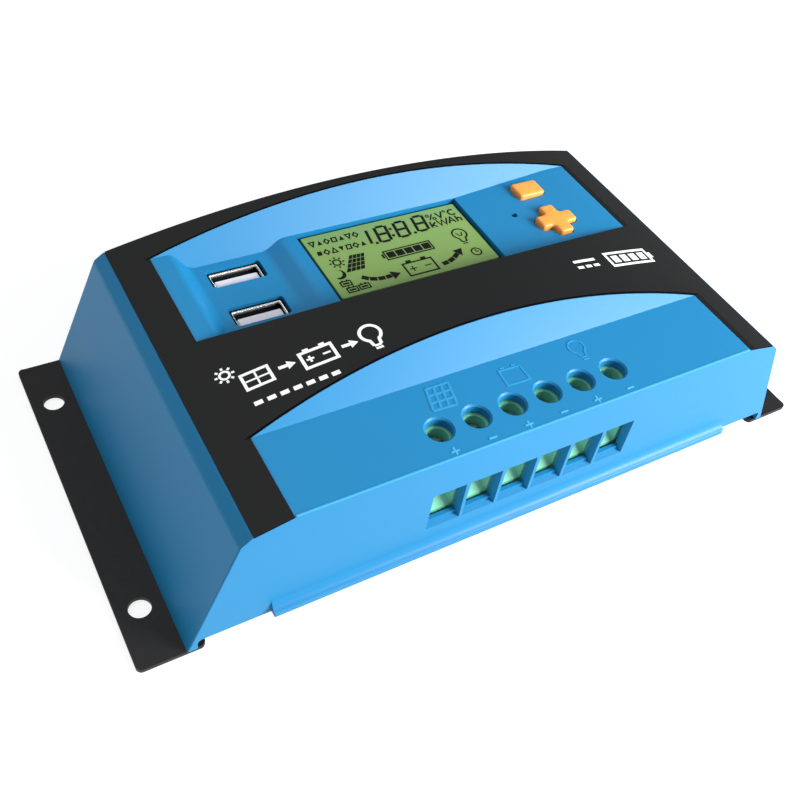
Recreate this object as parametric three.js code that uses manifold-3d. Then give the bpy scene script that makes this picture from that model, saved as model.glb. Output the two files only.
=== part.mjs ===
// Solar charge controller: moulded housing on a sheet-metal base plate, two USB sockets, a display,
// two keys and a six-way rising-clamp terminal block.
// Millimetres. Origin at the centre of the base plate's underside; +X along the length,
// +Y towards the back (the terminals face -Y), +Z up.
import * as THREE from "three";
import { mergeVertices } from "three/addons/utils/BufferGeometryUtils.js";
import Module from "manifold-3d";

// ---------------------------------------------------------------- driving dimensions

const GAP = 0.3; // between pieces that are fitted beside each other
const SEAT = 0.05; // between faces that rest on each other

// base plate
const PLATE_LENGTH = 188;
const PLATE_THICK = 1.2;
const PLATE_CORNER_R = 1.4;
const PLATE_SETBACK = 0.3; // of the plate's long edges behind the housing's foot
const PLATE_FLANGE_TOP = 6.5;
const TAB_OVERLAP = 4.4; // how far an end tab reaches in under the housing
const MOUNT_HOLE_R = 2.5;
const MOUNT_INSET_X = 5.2;
const MOUNT_INSET_Y = 13.7;

// housing
const FLANGE_WIDTH = 10.4;
const HOUSING_DEPTH = 90.6;
const END_LEAN = 11.3;
const SHOULDER_Z = 31.5;
const SHOULDER_CHAMFER = 2.9;
const FRONT_DRAFT = 0.8;
const BACK_DRAFT = 1.9;
const ARCH_EDGE_Z = 33.8;
const CREST_Z = 41.6;
const WALL = 2.2;
const WALL_BOTTOM_Z = 4.3;
const FOOT_LENGTH = 2.3;
const NOTCH_R = 1.2;
const LIP_INSET = 18.6;
const LIP_REACH = 1.7;
const LIP_HEIGHT = 1.8;
const LIP_FILLET = 2.4;
const SHOULDER_INSET = 0.4; // drop of the inner shoulder per unit of wall
const ARCH_STEPS = 40;
const ROUND_STEPS = 20;
const CORNER_STEPS = 3;

// troughs through the arch
const STRIP_WIDTH = 7.1; // of the arch left at each end of a trough
const FLOOR_Z = 35.3;
const LOW_FLOOR_DEPTH = 22;
const LOW_WALL_RUN = 1.27; // run of the front trough's sloped wall per unit of height
const BACK_MARGIN = 9.55; // from the housing's back foot to the back trough's floor
const UP_FLOOR_DEPTH = 29.55;
const UP_FRONT_RUN = 0.82;
const UP_BACK_RUN = 0.79;
const POCKET_FLOOR_Z = 31.9;
const POCKET_HALF = 9.85;
const POCKET_RAMP = 3.5;
const DISPLAY_FLOOR_Z = 33.7;
const DISPLAY_RAMP = 4.6;
const KEY_FIELD_MARGIN = 7.3; // flat floor between the rising key field and the trough's end

// label film
const FILM_THICK = 0.3;

// USB sockets
const USB_INSET_X = 19.8; // from the trough's end
const USB_OFFSETS_Y = [-7.2, 6.7]; // from the back trough's middle
const USB_SIDE_GAP = 0.45;
const USB_CUT_R = 1;
const USB_SHELL_W = 13.1;
const USB_SHELL_D = 5.7;
const USB_SHELL_WALL = 0.3;
const USB_SHELL_R = 0.6;
const USB_SHELL_H = 14;
const USB_DROP = 0.9;
const USB_TONGUE_MARGIN = 0.7; // between the shell's ends and the tongue
const USB_TONGUE_D = 2.7;
const USB_TONGUE_DROP = 0.5;
const USB_TONGUE_EDGE = 0.45; // between the shell's front wall and the tongue
const USB_BASE_H = 3;
const USB_BOARD_HALF = 10;
const USB_BOARD_MARGIN = 6;

// display
const WINDOW_X = [-24.2, 23.6];
const WINDOW_DEPTH = 26;
const WINDOW_OFFSET_Y = 0.4; // from the back trough's middle
const GASKET_W = 0.7;
const GASKET_DROP = 0.6; // of the gasket's top below the glass's
const GLASS_SINK = 0.7;
const GLASS_THICK = 2.6;
const BACKLIGHT_THICK = 2.6;

// keys
const KEY_INSET_X = 17.9; // from the trough's end
const MENU_OFFSET_Y = 8.4; // from the back trough's middle
const MENU_SIZE = [8.2, 5.9];
const PLUS_OFFSET_Y = -5.6;
const PLUS_SPAN = 11.3;
const PLUS_ARM = 4.4;
const KEY_CORNER_R = 0.9;
const KEY_PROUD = 1.4;
const KEY_FLANGE = 1;
const KEY_FLANGE_THICK = 0.9;
const KEY_TRAVEL = 0.6;
const SWITCH_SIZE = 6;
const SWITCH_HEIGHT = 2.2;
const SWITCH_FLOOR = 0.5;
const PLUNGER_R = 1.7;
const LIGHT_INSET_X = 27.1;
const LIGHT_OFFSET_Y = 0.8;
const LIGHT_R = 0.7;
const LIGHT_GAP = 0.2;
const LIGHT_SINK = 0.8;

// circuit boards
const BOARD_THICK = 1.6;
const MAIN_BOARD_TOP = 8.8;
const MAIN_BOARD_MARGIN = 23.6; // from the housing's foot, at each end
const MAIN_BOARD_BACK = 3; // from the tray's flange
const DISPLAY_BOARD_EDGE = 3.8; // past the window, towards the sockets
const DISPLAY_BOARD_MARGIN = 9.6; // past the keys' centres
const DISPLAY_BOARD_DEPTH = 25;

// terminals
const WAYS = 6;
const PITCH = 9.5;
const SCREW_INSET = 9; // from the housing's front foot
const ACCESS_CLEAR = 0.9;
const ACCESS_CHAMFER = 0.4;
const ENTRY_Z = [13.8, 23.8];
const ENTRY_SIDE = 0.2; // how much wider than the cage a wire entry is, at each side
const ENTRY_CHAMFER = 0.45;
const ENTRY_SILL = 1.35;
const ENTRY_CHAMFER_DEPTH = 1.2;
const BLOCK_END = 0.9;
const BLOCK_BACK = 9.3; // from the screws to the block's back
const CAGE_W = 7.4;
const CAGE_DEPTH = 7;
const CAGE_WALL = 1;
const CAGE_TOP = 1.5;
const CAGE_RISE = 2.8;
const CAGE_SILL = 3.2; // from the entry's sill to the open cage's floor
const CONTACT_DROP = 2; // from the entry's top to the contact's underside
const CONTACT_THICK = 1;
const CONTACT_SIDE = 0.4;
const CONTACT_CLEAR = 0.3; // under the cage's top bar when the clamp is open
const CONTACT_LEG = 2; // from the block's back to the contact's leg
const THROAT_W = 4.6; // narrow end of the wire funnel
const THROAT_RISE = 0.2; // of the throat's sill above the open cage's floor
const THROAT_DROP = 0.2; // of the throat's top below the contact's underside
const SCREW_HEAD_R = 2.2;
const SCREW_HEAD_H = 2.6;
const SCREW_SHAFT_R = 1.6;
const SLOT_W = 1;
const SLOT_DEPTH = 1.2;
const SCREW_EDGE = 0.3;

// fasteners and the parts on the main board
const BASE_SCREW_INSET = [19.6, 9.3]; // from the housing's foot
const BASE_SCREW_R = 1.5;
const BASE_SCREW_HEAD_R = 2.6;
const BASE_SCREW_LENGTH = 12;
const BOSS_R = 3.6;
const BOSS_SINK = 1; // how far a boss runs into the wall beside it
const SPACER_INSET = [12, 4]; // from the base screws
const SPACER_R = 2.6;
const SPREADER = [-44, -16, 44, 0];
const SPREADER_THICK = 3;
const PAD_THICK = 0.5;
const TRANSISTORS = 4;
const TRANSISTOR_PITCH = 18;
const TRANSISTOR_W = 10;
const TRANSISTOR_BODY = 9;
const TRANSISTOR_TAB = 14;
const TRANSISTOR_H = 4.4;
const TAB_THICK = 1.3;
const BULK_CAPACITOR = { x: 50, y: -20, r: 6.3, height: 20 };
const OUTPUT_CAPACITOR = { x: -50, y: -20, r: 5, height: 16 };
const CAN_EDGE = 0.6;
const INDUCTOR = { x: 40, y: 12, outer: 8, inner: 3.5, height: 7 };
const CHIP = { x: 9, y: 19, size: 10, height: 1.5 };
const HEADER_W = 2.5;
const HEADER_MARGIN = 5;

// ---------------------------------------------------------------- derived places

const HALF_DEPTH = HOUSING_DEPTH / 2;
const FRONT_Y = -HALF_DEPTH;
const INNER_FRONT_Y = FRONT_Y + WALL;
const INNER_BACK_Y = HALF_DEPTH - WALL;
const HOUSING_Z = PLATE_THICK + SEAT;
const BASE_HALF = PLATE_LENGTH / 2 - FLANGE_WIDTH;
const SHOULDER_HALF = BASE_HALF - END_LEAN;
const ARCH_HALF = SHOULDER_HALF - SHOULDER_CHAMFER;
const ARCH_RISE = CREST_Z - ARCH_EDGE_Z;
const ARCH_R = (ARCH_HALF ** 2 + ARCH_RISE ** 2) / (2 * ARCH_RISE);
const ARCH_CENTRE_Z = CREST_Z - ARCH_R;
const SKY_Z = CREST_Z + 5;

const PLATE_DEPTH = HOUSING_DEPTH - 2 * PLATE_SETBACK;
const TAB_INNER_X = BASE_HALF - TAB_OVERLAP;
const PLATE_FLANGE_HALF = TAB_INNER_X - FOOT_LENGTH - NOTCH_R;
const TRAY_HALF_Y = INNER_BACK_Y - (BACK_DRAFT / FLOOR_Z) * PLATE_FLANGE_TOP - GAP;
const MOUNT_HOLES = [PLATE_LENGTH / 2 - MOUNT_INSET_X, PLATE_DEPTH / 2 - MOUNT_INSET_Y];
const BASE_SCREW = [BASE_HALF - BASE_SCREW_INSET[0], HALF_DEPTH - BASE_SCREW_INSET[1]];
const SPACER = [BASE_SCREW[0] - SPACER_INSET[0], BASE_SCREW[1] - SPACER_INSET[1]];

const TROUGH_HALF = ARCH_HALF - STRIP_WIDTH;
const LOW_WALL_Y = FRONT_Y + LOW_FLOOR_DEPTH;
const UP_BACK_Y = HALF_DEPTH - BACK_MARGIN;
const UP_FRONT_Y = UP_BACK_Y - UP_FLOOR_DEPTH;
const UP_MIDDLE_Y = (UP_FRONT_Y + UP_BACK_Y) / 2;
const KEY_FLOOR_END_X = TROUGH_HALF - KEY_FIELD_MARGIN;

const USB_X = USB_INSET_X - TROUGH_HALF;
const USB_Y = USB_OFFSETS_Y.map((offset) => UP_MIDDLE_Y + offset);
const USB_CUT_W = USB_SHELL_W + 2 * USB_SIDE_GAP;
const USB_CUT_D = USB_SHELL_D + 2 * GAP;
const USB_TONGUE_W = USB_SHELL_W - 2 * (USB_SHELL_WALL + USB_TONGUE_MARGIN);
const POCKET_X = [USB_X - POCKET_HALF, USB_X + POCKET_HALF];
const DISPLAY_START_X = POCKET_X[1] + DISPLAY_RAMP;
const WINDOW_MIDDLE_Y = UP_MIDDLE_Y + WINDOW_OFFSET_Y;
const WINDOW_Y = [WINDOW_MIDDLE_Y - WINDOW_DEPTH / 2, WINDOW_MIDDLE_Y + WINDOW_DEPTH / 2];
const GLASS_TOP = DISPLAY_FLOOR_Z - GLASS_SINK;
const BACKLIGHT_TOP = GLASS_TOP - GLASS_THICK - SEAT;
const DISPLAY_BOARD_TOP = BACKLIGHT_TOP - BACKLIGHT_THICK - SEAT;
const KEY_X = TROUGH_HALF - KEY_INSET_X;
const MENU_CENTRE = [KEY_X, UP_MIDDLE_Y + MENU_OFFSET_Y];
const PLUS_CENTRE = [KEY_X, UP_MIDDLE_Y + PLUS_OFFSET_Y];
const LIGHT_CENTRE = [TROUGH_HALF - LIGHT_INSET_X, UP_MIDDLE_Y + LIGHT_OFFSET_Y];

const MAIN_BOARD_HALF = BASE_HALF - MAIN_BOARD_MARGIN;
const MAIN_BOARD_Y = [-TRAY_HALF_Y, TRAY_HALF_Y - MAIN_BOARD_BACK];
const DISPLAY_BOARD_X = [WINDOW_X[0] - DISPLAY_BOARD_EDGE, KEY_X + DISPLAY_BOARD_MARGIN];
const DISPLAY_BOARD_Y = [WINDOW_Y[1] - DISPLAY_BOARD_DEPTH, WINDOW_Y[1]];

const SCREW_Y = FRONT_Y + SCREW_INSET;
const ACCESS_R = SCREW_HEAD_R + ACCESS_CLEAR;
const ENTRY_W = CAGE_W + 2 * ENTRY_SIDE;
const CAGE_FLOOR_Z = ENTRY_Z[0] + CAGE_SILL;
const CONTACT_Z = ENTRY_Z[1] - CONTACT_DROP;
const CONTACT_W = CAGE_W - 2 * (CAGE_WALL + CONTACT_SIDE);
const BLOCK_BACK_Y = SCREW_Y + BLOCK_BACK;
const BLOCK_HALF = (WAYS * PITCH) / 2 + BLOCK_END;
const BLOCK_TOP = FLOOR_Z - WALL - GAP;
const BLOCK_Z = MAIN_BOARD_TOP + SEAT;
const BLOCK_LEAN = (FRONT_DRAFT / FLOOR_Z) * (BLOCK_TOP - HOUSING_Z);
const CAGE_TOP_Z = CONTACT_Z + CONTACT_THICK + CONTACT_CLEAR + CAGE_TOP;
const CAGE_HALL_TOP = CAGE_TOP_Z + CAGE_RISE + 2 * SEAT;
const SCREW_HEAD_Z = CAGE_HALL_TOP + GAP;

// ---------------------------------------------------------------- solids

const wasm = await Module();
wasm.setup();

// Turns a closed three.js geometry into a solid with its faces pointing out.
function solid(geometry) {
  const bare = new THREE.BufferGeometry();
  bare.setAttribute("position", geometry.getAttribute("position"));
  bare.setIndex(geometry.index);
  const merged = mergeVertices(bare, 1e-4);
  const corners = [];
  for (let i = 0; i < merged.index.count; i += 3) {
    const [a, b, c] = merged.index.array.slice(i, i + 3);
    if (a !== b && b !== c && c !== a) corners.push(a, b, c);
  }
  const build = (triangles) =>
    new wasm.Manifold(
      new wasm.Mesh({
        numProp: 3,
        vertProperties: new Float32Array(merged.attributes.position.array),
        triVerts: new Uint32Array(triangles),
      }),
    );
  const made = build(corners);
  return made.volume() < 0 ? build(corners.reverse()) : made;
}

function join(first, ...others) {
  return others.reduce((whole, piece) => whole.add(piece), first);
}

function cut(first, ...others) {
  return others.reduce((whole, piece) => whole.subtract(piece), first);
}

// Turns a solid back into a flat-shaded geometry.
function geometryOf(body) {
  const mesh = body.getMesh();
  const geometry = new THREE.BufferGeometry();
  geometry.setAttribute("position", new THREE.BufferAttribute(mesh.vertProperties, 3));
  geometry.setIndex(new THREE.BufferAttribute(mesh.triVerts, 1));
  return geometry;
}

function polygon(points) {
  return new THREE.Shape(points.map(([x, y]) => new THREE.Vector2(x, y)));
}

function rect(x0, y0, x1, y1) {
  return polygon([
    [x0, y0],
    [x1, y0],
    [x1, y1],
    [x0, y1],
  ]);
}

function roundedRect(x0, y0, x1, y1, r) {
  const shape = new THREE.Shape();
  shape.absarc(x1 - r, y0 + r, r, -Math.PI / 2, 0);
  shape.absarc(x1 - r, y1 - r, r, 0, Math.PI / 2);
  shape.absarc(x0 + r, y1 - r, r, Math.PI / 2, Math.PI);
  shape.absarc(x0 + r, y0 + r, r, Math.PI, Math.PI * 1.5);
  shape.closePath();
  return shape;
}

// Extrudes a shape from one height to another along a world axis. The shape lies in the plane of
// the other two axes: (x, y) for Z, (x, z) for Y and (y, z) for X.
function prism(axis, shape, low, high, steps = CORNER_STEPS) {
  const depth = high - low;
  const geometry = new THREE.ExtrudeGeometry(shape, {
    depth,
    bevelEnabled: false,
    curveSegments: steps,
  });
  const x = new THREE.Vector3(1, 0, 0);
  const y = new THREE.Vector3(0, 1, 0);
  const z = new THREE.Vector3(0, 0, 1);
  const frame = new THREE.Matrix4();
  if (axis === "Z") frame.makeTranslation(0, 0, low);
  if (axis === "Y") frame.makeBasis(x, z, y.clone().negate()).setPosition(0, high, 0);
  if (axis === "X") frame.makeBasis(y, z, x).setPosition(low, 0, 0);
  return solid(geometry.applyMatrix4(frame));
}

function block(x0, y0, z0, x1, y1, z1) {
  return prism("Z", rect(x0, y0, x1, y1), z0, z1);
}

// Straight-sided solid from one rectangle [x0, x1, z0, z1] at y0 to another at y1.
function passage(y0, near, y1, far) {
  const ring = (y, [u0, u1, z0, z1]) => [[u0, y, z0], [u1, y, z0], [u1, y, z1], [u0, y, z1]];
  return wasm.Manifold.hull([...ring(y0, near), ...ring(y1, far)]);
}

// Turns a profile of (radius, height) points about a vertical axis through (x, y).
function turned(x, y, profile, steps = ROUND_STEPS) {
  const points = profile.map(([r, z]) => new THREE.Vector2(r, z));
  const geometry = new THREE.LatheGeometry(points, steps);
  return solid(geometry.rotateX(Math.PI / 2).translate(x, y, 0));
}

function rod(x, y, r, z0, z1, steps = ROUND_STEPS) {
  return turned(x, y, [[0, z0], [r, z0], [r, z1], [0, z1]], steps);
}

// ---------------------------------------------------------------- colours

function finish(colour, roughness, metalness = 0) {
  return new THREE.MeshStandardMaterial({ color: colour, roughness, metalness });
}

const SHELL_BLUE = finish(0x2f95d6, 0.45);
const FILM_BLACK = finish(0x18191b, 0.5);
const PLATE_BLACK = finish(0x26272a, 0.55);
const KEY_ORANGE = finish(0xffa845, 0.5);
const LCD_GREEN = finish(0x8db068, 0.2);
const GASKET_BLACK = finish(0x111111, 0.8);
const STEEL = finish(0xc9ccd0, 0.3, 1);
const COPPER = finish(0xc98a5a, 0.35, 1);
const USB_WHITE = finish(0xe8e8f0, 0.5);
const BLOCK_GREEN = finish(0x6fb393, 0.5);
const BOARD_GREEN = finish(0x1f6b3a, 0.5);
const PART_BLACK = finish(0x1a1a1a, 0.6);
const ALUMINIUM = finish(0xb8bcc0, 0.4, 1);
const PAD_GREY = finish(0x9aa3ad, 0.9);
const LIGHT_CLEAR = finish(0x2a2d30, 0.2);
const SLEEVE_BLUE = finish(0x20304c, 0.4);

const controller = new THREE.Group();

function add(name, body, material, group = controller) {
  const mesh = new THREE.Mesh(geometryOf(body), material);
  mesh.name = name;
  group.add(mesh);
}

function groupAt(x, y, z) {
  const group = new THREE.Group();
  group.position.set(x, y, z);
  controller.add(group);
  return group;
}

function corners(halfX, halfY) {
  return [
    [-halfX, -halfY],
    [halfX, -halfY],
    [-halfX, halfY],
    [halfX, halfY],
  ];
}

// ---------------------------------------------------------------- base plate

// A flat sheet with an end tab under each end of the housing. The tray between the tabs fits behind
// the housing's front and back walls, and its long edges are turned up.
function basePlate() {
  const halfX = PLATE_LENGTH / 2;
  const halfY = PLATE_DEPTH / 2;
  const left = roundedRect(-halfX, -halfY, -TAB_INNER_X, halfY, PLATE_CORNER_R);
  const right = roundedRect(TAB_INNER_X, -halfY, halfX, halfY, PLATE_CORNER_R);
  const trayHalf = TAB_INNER_X + 2 * PLATE_CORNER_R;
  const middle = rect(-trayHalf, -TRAY_HALF_Y, trayHalf, TRAY_HALF_Y);
  let plate = join(
    prism("Z", left, 0, PLATE_THICK),
    prism("Z", right, 0, PLATE_THICK),
    prism("Z", middle, 0, PLATE_THICK),
  );
  for (const side of [-1, 1]) {
    const outer = side * TRAY_HALF_Y;
    const inner = side * (TRAY_HALF_Y - PLATE_THICK);
    const low = Math.min(outer, inner);
    const high = Math.max(outer, inner);
    plate = join(plate, block(-PLATE_FLANGE_HALF, low, 0, PLATE_FLANGE_HALF, high, PLATE_FLANGE_TOP));
  }
  for (const [x, y] of corners(...MOUNT_HOLES)) {
    plate = cut(plate, rod(x, y, MOUNT_HOLE_R, -1, PLATE_THICK + 1, 24));
  }
  for (const [x, y] of corners(...BASE_SCREW)) {
    const wide = BASE_SCREW_HEAD_R + GAP;
    const narrow = BASE_SCREW_R + GAP;
    const sink = [[0, -0.2], [wide + 0.2, -0.2], [narrow, PLATE_THICK - 0.1], [narrow, 3], [0, 3]];
    plate = cut(plate, turned(x, y, sink));
  }
  return plate;
}

// ---------------------------------------------------------------- housing

// The housing's cross-section along its length: sloped ends, a chamfered shoulder and the arch.
// Inset moves every wall inwards, as the inner face of a shell.
function housingSection(inset, bottom) {
  const slope = (BASE_HALF - SHOULDER_HALF) / (SHOULDER_Z - HOUSING_Z);
  const sideways = inset * Math.hypot(1, slope);
  const base = BASE_HALF + slope * (HOUSING_Z - bottom) - sideways;
  const shoulder = SHOULDER_HALF - sideways;
  const edge = ARCH_HALF - inset;
  const radius = ARCH_R - inset;
  const start = Math.acos(edge / radius);
  const shape = new THREE.Shape();
  shape.moveTo(-base, bottom);
  shape.lineTo(base, bottom);
  shape.lineTo(shoulder, SHOULDER_Z - inset * SHOULDER_INSET);
  shape.absarc(0, ARCH_CENTRE_Z, radius, start, Math.PI - start);
  shape.lineTo(-shoulder, SHOULDER_Z - inset * SHOULDER_INSET);
  shape.closePath();
  return shape;
}

// The housing's side view: the front and back walls lean in slightly, for the mould's draft.
function draftSection(inset, bottom) {
  const frontLean = FRONT_DRAFT / FLOOR_Z;
  const backLean = BACK_DRAFT / FLOOR_Z;
  const rise = SKY_Z - HOUSING_Z;
  return polygon([
    [FRONT_Y + inset, bottom],
    [HALF_DEPTH - inset, bottom],
    [HALF_DEPTH - inset - backLean * rise, SKY_Z],
    [FRONT_Y + inset + frontLean * rise, SKY_Z],
  ]);
}

function housingBody(inset, bottom) {
  const length = prism("Y", housingSection(inset, bottom), -HALF_DEPTH - 1, HALF_DEPTH + 1, ARCH_STEPS);
  const width = BASE_HALF + 5;
  return length.intersect(prism("X", draftSection(inset, bottom), -width, width));
}

// Height of the button field's floor, which rises gently from the display to the trough's end.
function keyFloor(x) {
  const run = KEY_FLOOR_END_X - WINDOW_X[1];
  return DISPLAY_FLOOR_Z + ((FLOOR_Z - DISPLAY_FLOOR_Z) * (x - WINDOW_X[1])) / run;
}

// Trough over the terminals: a flat floor, open to the front, with a sloped wall at its back.
function frontTrough(grow) {
  const back = LOW_WALL_Y + grow;
  const floor = FLOOR_Z - grow;
  const section = polygon([
    [FRONT_Y - 10, floor],
    [back, floor],
    [back + LOW_WALL_RUN * (SKY_Z - floor), SKY_Z],
    [FRONT_Y - 10, SKY_Z],
  ]);
  return prism("X", section, -TROUGH_HALF - grow, TROUGH_HALF + grow);
}

// Trough over the display: two sloped walls, and a floor with a socket pocket and a display field.
function backTrough(grow) {
  const deep = POCKET_FLOOR_Z - 2 * WALL;
  const frontAt = (z) => UP_FRONT_Y - UP_FRONT_RUN * (z - FLOOR_Z) - grow;
  const backAt = (z) => UP_BACK_Y + UP_BACK_RUN * (z - FLOOR_Z) + grow;
  const across = polygon([
    [frontAt(deep), deep],
    [backAt(deep), deep],
    [backAt(SKY_Z), SKY_Z],
    [frontAt(SKY_Z), SKY_Z],
  ]);
  const half = TROUGH_HALF + grow;
  const along = polygon([
    [-half, FLOOR_Z - grow],
    [POCKET_X[0] - POCKET_RAMP - grow / 2, FLOOR_Z - grow],
    [POCKET_X[0] - grow / 2, POCKET_FLOOR_Z - grow],
    [POCKET_X[1] + grow / 2, POCKET_FLOOR_Z - grow],
    [DISPLAY_START_X + grow / 2, DISPLAY_FLOOR_Z - grow],
    [WINDOW_X[1], DISPLAY_FLOOR_Z - grow],
    [KEY_FLOOR_END_X, FLOOR_Z - grow],
    [half, FLOOR_Z - grow],
    [half, SKY_Z],
    [-half, SKY_Z],
  ]);
  return prism("X", across, -half, half).intersect(prism("Y", along, 0, 60));
}

function plusShape(x, y, span, arm, r) {
  const reach = span / 2;
  const half = arm / 2;
  const inner = half + 0.4;
  const shape = new THREE.Shape();
  const sides = [0, Math.PI / 2, Math.PI, Math.PI * 1.5];
  for (const angle of sides) {
    const at = (u, v) => [
      x + u * Math.cos(angle) - v * Math.sin(angle),
      y + u * Math.sin(angle) + v * Math.cos(angle),
    ];
    const [x0, y0] = at(reach - r, -half + r);
    const [x1, y1] = at(reach - r, half - r);
    const [x2, y2] = at(inner, inner);
    shape.absarc(x0, y0, r, angle - Math.PI / 2, angle);
    shape.absarc(x1, y1, r, angle, angle + Math.PI / 2);
    shape.lineTo(x2, y2);
  }
  shape.closePath();
  return shape;
}

function menuShape(grow) {
  const [x, y] = MENU_CENTRE;
  const w = MENU_SIZE[0] / 2 + grow;
  const d = MENU_SIZE[1] / 2 + grow;
  return roundedRect(x - w, y - d, x + w, y + d, KEY_CORNER_R + Math.min(grow, GAP));
}

function crossShape(grow) {
  const r = KEY_CORNER_R + Math.min(grow, GAP);
  return plusShape(...PLUS_CENTRE, PLUS_SPAN + 2 * grow, PLUS_ARM + 2 * grow, r);
}

const KEYS = [
  { name: "menu", centre: MENU_CENTRE, outline: menuShape },
  { name: "plus", centre: PLUS_CENTRE, outline: crossShape },
];

function wayX(index) {
  return (index - (WAYS - 1) / 2) * PITCH;
}

// Wire entry: a rectangular hole whose outer rim is chamfered.
function entryCut() {
  const rim = ENTRY_CHAMFER;
  const outer = rect(-ENTRY_W / 2 - rim, ENTRY_Z[0] - ENTRY_SILL, ENTRY_W / 2 + rim, ENTRY_Z[1] + rim);
  const mouth = new THREE.ExtrudeGeometry(outer, {
    depth: WALL,
    bevelEnabled: true,
    bevelThickness: ENTRY_CHAMFER_DEPTH,
    bevelSize: rim,
    bevelOffset: -rim,
    bevelSegments: 1,
  });
  const frame = new THREE.Matrix4();
  frame.makeBasis(
    new THREE.Vector3(1, 0, 0),
    new THREE.Vector3(0, 0, 1),
    new THREE.Vector3(0, -1, 0),
  );
  const through = rect(-ENTRY_W / 2, ENTRY_Z[0], ENTRY_W / 2, ENTRY_Z[1]);
  return join(
    solid(mouth.applyMatrix4(frame.setPosition(0, FRONT_Y + 0.3, 0))),
    prism("Y", through, FRONT_Y - 3, INNER_FRONT_Y + 2),
  );
}

function accessCut() {
  return turned(0, SCREW_Y, [
    [0, BLOCK_TOP - 1],
    [ACCESS_R, BLOCK_TOP - 1],
    [ACCESS_R, FLOOR_Z - ACCESS_CHAMFER],
    [ACCESS_R + ACCESS_CHAMFER + 0.5, FLOOR_Z + 0.5],
    [0, FLOOR_Z + 0.5],
  ]);
}

// The long lip at the foot of the front and back walls, with a hollow fillet above it.
function lip(side) {
  const y = side * HALF_DEPTH;
  const reach = side * LIP_REACH;
  const top = WALL_BOTTOM_Z + LIP_HEIGHT;
  const shape = new THREE.Shape();
  shape.moveTo(y - reach / 2, WALL_BOTTOM_Z);
  shape.lineTo(y + reach, WALL_BOTTOM_Z);
  shape.lineTo(y + reach, top);
  shape.quadraticCurveTo(y + reach * 0.1, top + LIP_FILLET * 0.1, y - reach * 0.1, top + LIP_FILLET);
  shape.lineTo(y - reach / 2, top + LIP_FILLET);
  shape.closePath();
  return prism("X", shape, LIP_INSET - BASE_HALF, BASE_HALF - LIP_INSET, 4);
}

function housing() {
  const shell = cut(housingBody(0, HOUSING_Z), frontTrough(0), backTrough(0));
  const filmSeat = filmSheet(FILM_THICK + SEAT, 1, ARCH_HALF);
  const hollow = cut(housingBody(WALL, HOUSING_Z - 1), frontTrough(WALL), backTrough(WALL));
  let body = cut(shell, hollow, filmSeat);
  const notchHalf = BASE_HALF - FOOT_LENGTH;
  const notch = roundedRect(-notchHalf, -5, notchHalf, WALL_BOTTOM_Z, NOTCH_R);
  body = cut(body, prism("Y", notch, -HALF_DEPTH - 2, HALF_DEPTH + 2));
  body = join(body, lip(-1), lip(1));
  for (const [x, y] of corners(...BASE_SCREW)) {
    const boss = rod(x, y, BOSS_R, HOUSING_Z, FLOOR_Z - WALL).intersect(housingBody(BOSS_SINK, HOUSING_Z));
    const bore = rod(x, y, BASE_SCREW_R + GAP, 0, BASE_SCREW_LENGTH + 2 * PLATE_THICK);
    body = cut(join(body, boss), bore);
  }
  for (let way = 0; way < WAYS; way++) {
    const x = wayX(way);
    body = cut(body, entryCut().translate(x, 0, 0), accessCut().translate(x, 0, 0));
  }
  for (const y of USB_Y) {
    const w = USB_CUT_W / 2;
    const d = USB_CUT_D / 2;
    const slot = roundedRect(USB_X - w, y - d, USB_X + w, y + d, USB_CUT_R);
    body = cut(body, prism("Z", slot, POCKET_FLOOR_Z - 2 * WALL, SKY_Z));
  }
  const frame = rect(WINDOW_X[0], WINDOW_Y[0], WINDOW_X[1], WINDOW_Y[1]);
  body = cut(body, prism("Z", frame, DISPLAY_FLOOR_Z - 2 * WALL, DISPLAY_FLOOR_Z + 0.2));
  for (const key of KEYS) {
    body = cut(body, prism("Z", key.outline(GAP), DISPLAY_FLOOR_Z - 2 * WALL, SKY_Z));
  }
  return cut(body, rod(...LIGHT_CENTRE, LIGHT_R + LIGHT_GAP, DISPLAY_FLOOR_Z - 2 * WALL, SKY_Z, 12));
}

// ---------------------------------------------------------------- label film

// A sheet of the given thickness that lies on the arch, or the seat that is cut for it.
function filmSheet(thick, above, half) {
  const outer = ARCH_R + above;
  const inner = ARCH_R - thick;
  const start = Math.acos(half / ARCH_R);
  const shape = new THREE.Shape();
  shape.absarc(0, ARCH_CENTRE_Z, outer, start, Math.PI - start);
  shape.absarc(0, ARCH_CENTRE_Z, inner, Math.PI - start, start, true);
  shape.closePath();
  return prism("Y", shape, -HALF_DEPTH - 1, HALF_DEPTH + 1, ARCH_STEPS);
}

function labelFilm() {
  const sheet = filmSheet(FILM_THICK, 0, ARCH_HALF - SEAT).intersect(housingBody(0, HOUSING_Z));
  return cut(sheet, frontTrough(0), backTrough(0));
}

// ---------------------------------------------------------------- display and keys

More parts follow.
